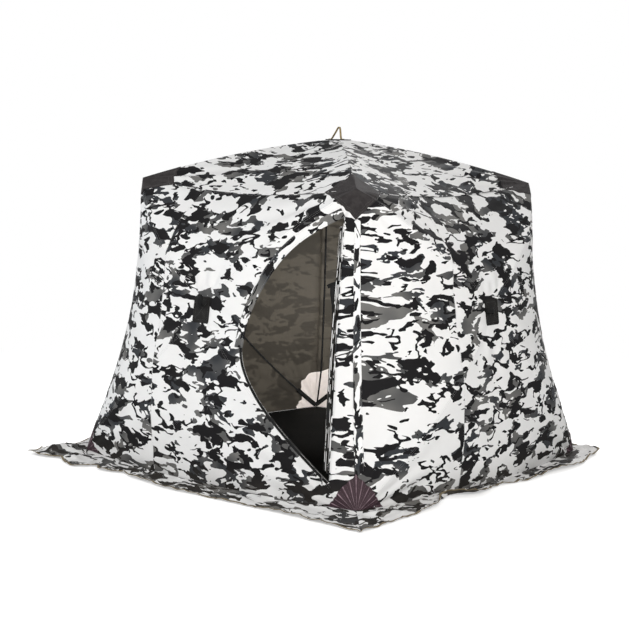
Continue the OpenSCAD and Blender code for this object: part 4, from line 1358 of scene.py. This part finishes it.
def skirt_surface(wall, s, q):
    """Top of a skirt, from its seam (q = 0) to its edge (q = 1), and its places on flat cloth."""
    inner, outer = skirt_lines(wall, s)
    q = q[:, None]
    local = mix(inner[None], outer[None], q[..., None])
    world = turned(local, WALLS[wall])
    seed = 3.3 + 2 * list(WALLS).index(wall)
    corner = np.clip((np.abs(s) - 0.72) / 0.24, 0, 1)[None, :]
    corner = corner * corner * (3 - 2 * corner)
    long_folds = 0.5 + 0.5 * ground_noise(local, (0.30, 0.045), seed)
    cross_folds = np.abs(ground_noise(local, (0.07, 0.20), seed + 9))
    loose = np.abs(ground_noise(world, (0.085, 0.085), 2.1))
    fine = ground_noise(world, (0.030, 0.030), 6.4)
    height = mix(0.010 * long_folds ** 2 + 0.010 * cross_folds, 0.020 * loose, corner)
    crease = (1 - np.abs(ground_noise(world, (0.120, 0.120), 5.6))) ** 6
    height = (height + 0.011 * crease + 0.0022 * fine) * np.clip(q / 0.15, 0, 1) + 0.0028
    for x, y, wide, high in SKIRT_MOUNDS:
        near = np.exp(-((world[..., 0] - x) ** 2 + (world[..., 1] - y) ** 2) / wide ** 2)
        rough = 0.55 + 0.9 * np.abs(ground_noise(world, (0.060, 0.060), 8.2))
        height = height + high * near * rough * np.clip(q / 0.25, 0, 1)
    ruffle = np.clip((q - 0.35) / 0.65, 0, 1) ** 2
    for at, wide, high in SKIRT_LIFTS[wall]:
        height = height + high * ruffle * np.exp(-((local[..., 0] - at) / wide) ** 2)
    roll = np.clip(q / 0.16, 0, 1)
    height = np.maximum(height, 0.0030) + SKIRT_SEW * (1 - roll * roll * (3 - 2 * roll))
    local[..., 2] = height
    return turned(local, WALLS[wall]), local[..., :2] + [0, PRINT_AT[wall] + 5.3]


def area_of_grid(points):
    """Area of a grid of points."""
    a, b = np.diff(points, axis=0)[:, :-1], np.diff(points, axis=1)[:-1]
    return float(np.linalg.norm(np.cross(a, b), axis=-1).sum())


def skirts(binding_cloth, thread_cloth):
    """The four strips of the skirt, with their bound edge. Returns each strip and its area."""
    binding, thread, made = Sheet(), Sheet(), []
    s = graded(150)
    q = np.concatenate([np.linspace(0, 0.16, 7), np.linspace(0.2, 1, 22)])
    for wall in WALLS:
        sheet = Sheet()
        top, cloth_place = skirt_surface(wall, s, q)
        sheet.slab(top, top - UP * CLOTH, cloth_place, under=1)
        piece = placed(sheet.build("skirt_%s_cloth" % wall, CAMO), "camo_cloth", "skirt_" + wall)
        made.append((piece, area_of_grid(top)))
        edge, before = top[-1], top[-3]
        inward = unit(before - edge)
        path = edge + inward * 0.0040 - UP * CLOTH / 2
        path[:, 2] = np.maximum(path[:, 2], 0.0034)
        binding.sweep(path, np.cross(np.gradient(path, axis=0), inward), tape_section(0.0125, 0.0026))
        thread.stitches(edge + inward * 0.0085 + UP * 0.0009, UP)
        thread.stitches(top[4])
    placed(binding.build("skirt_hem_binding", [binding_cloth]), "webbing")
    placed(thread.build("skirt_stitches", [thread_cloth]), "camo_cloth")
    return made


def floor_cloth(cloth):
    """The floor, one sheet sewn in all round, in low ripples."""
    sheet = Sheet()
    s = np.linspace(-1, 1, 49)[:-1]
    rim = np.concatenate([turned(hem_edge(s), angle) for angle in WALLS.values()])
    rim = np.append(rim, rim[:1], 0) * (1 - 0.009)
    share = np.linspace(0, 1, 38)[:, None, None]
    top = rim[None] * share
    ripple = 0.5 + 0.5 * ground_noise(top, (0.23, 0.31), 4.4)
    fine = ground_noise(top, (0.07, 0.09), 7.7)
    top[..., 2] = 0.0014 + (0.0070 * ripple ** 3 + 0.0008 * fine.clip(0)) * np.clip(
        (1 - share[..., 0]) / 0.08, 0, 1)
    sheet.slab(top, top * [1, 1, 0] + [0, 0, 0.0002], top[..., :2], ring=True)
    return placed(sheet.build("floor_cloth", [cloth]), "floor_cloth", "floor_sheet")


# ---------------- the hut

bpy.context.scene.view_settings.view_transform = "Standard"
camera()
lamps()
backdrop()
studio_floor()

CAMO = [camo_outside(), camo_inside()]
BLACK_TAPE = woven("black_webbing", grey(0.004), grey(0.014), 0.0016)
BLACK_CLOTH = woven("black_sleeve_cloth", grey(0.006), grey(0.018))
DARK_CLOTH = woven("dark_patch_cloth", (0.020, 0.0175, 0.018, 1), (0.042, 0.038, 0.038, 1))
PALE_LINING = woven("pale_lining", (0.90, 0.84, 0.81, 1), (0.82, 0.75, 0.71, 1), 0.0016, 0.7, 0.3)
BROWN_TAPE = woven("brown_hem_tape", (0.115, 0.090, 0.055, 1), (0.24, 0.20, 0.13, 1))
TAN_WEBBING = woven("tan_webbing", (0.20, 0.145, 0.065, 1), (0.36, 0.28, 0.15, 1), 0.0020)
# The second colour of the pleated cloth is its painted highlight along the pleat crests.
FAN_CLOTH = pleated("pleated_plum_cloth_painted_crest_highlights", (0.042, 0.022, 0.029, 1), (0.25, 0.175, 0.205, 1))
GREY_THREAD = spun("grey_thread", grey(0.46))
DARK_THREAD = spun("dark_thread", grey(0.12))
PINK_THREAD = spun("pink_thread", (0.22, 0.14, 0.17, 1))

cloths = {wall: plain_wall(wall) for wall in ("right", "back", "left")}
cloths["front"] = front_wall()
cloths["roof"] = roof()
hull = tree_of(cloths.values())
for name, piece in cloths.items():
    thicken(piece, CLOTH, lining=1)
    nodes = [name + "_wall"]
    if name == "front":
        nodes = ["front_wall_" + part for part in
                 ("left", "top", "bottom", "over_door", "under_door", "jamb")]
    if name == "roof":
        nodes = ["roof_" + wall for wall in WALLS]
    placed(piece, "camo_cloth", *nodes)

seam_thread, patch_band = Sheet(), Sheet()
ridge_stitches(seam_thread)
width_seam_stitches(seam_thread)
corner_band(patch_band, seam_thread)
placed(patch_band.build("corner_edge_tape", [CAMO[0]]), "camo_cloth")
welt = Sheet()
eave_welt(welt)
placed(welt.build("eave_welt", [CAMO[0]]), "camo_cloth")

hub_covers(woven("dark_cover_cloth", grey(0.007, 0.05), grey(0.016, 0.05)), DARK_THREAD)
pull_straps(BLACK_TAPE)
roof_loop(TAN_WEBBING)
top_patches(DARK_CLOTH, DARK_THREAD)
bottom_fans(FAN_CLOTH, PINK_THREAD)
inner_patches(PALE_LINING)
inner_bindings(BLACK_CLOTH)
pole_sleeves(BLACK_CLOTH)

storm = storm_flap(seam_thread)
zip_pieces(BLACK_TAPE, moulded("zip_teeth", grey(0.008), 0.6, scuff=grey(0.03)),
           moulded("zip_metal", grey(0.09), 0.35, 1.0))
jamb_piping(CAMO[0])
flap = door_flap()
flap_tie(BLACK_TAPE)
placed(seam_thread.build("seam_stitches", [GREY_THREAD]), "camo_cloth")

skirt_pieces = skirts(BROWN_TAPE, GREY_THREAD)
floor = floor_cloth(woven("black_floor_cloth", grey(0.002), grey(0.004), 0.0018, 0.8))

rod = moulded("black_pole_rod", grey(0.012), 0.35)
hub_paint = moulded("black_hub_plastic", grey(0.020), 0.45)
for name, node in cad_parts.items():
    if not node.hide_render:
        node.data.materials.clear()
        node.data.materials.append(rod if name.endswith("poles") else hub_paint)
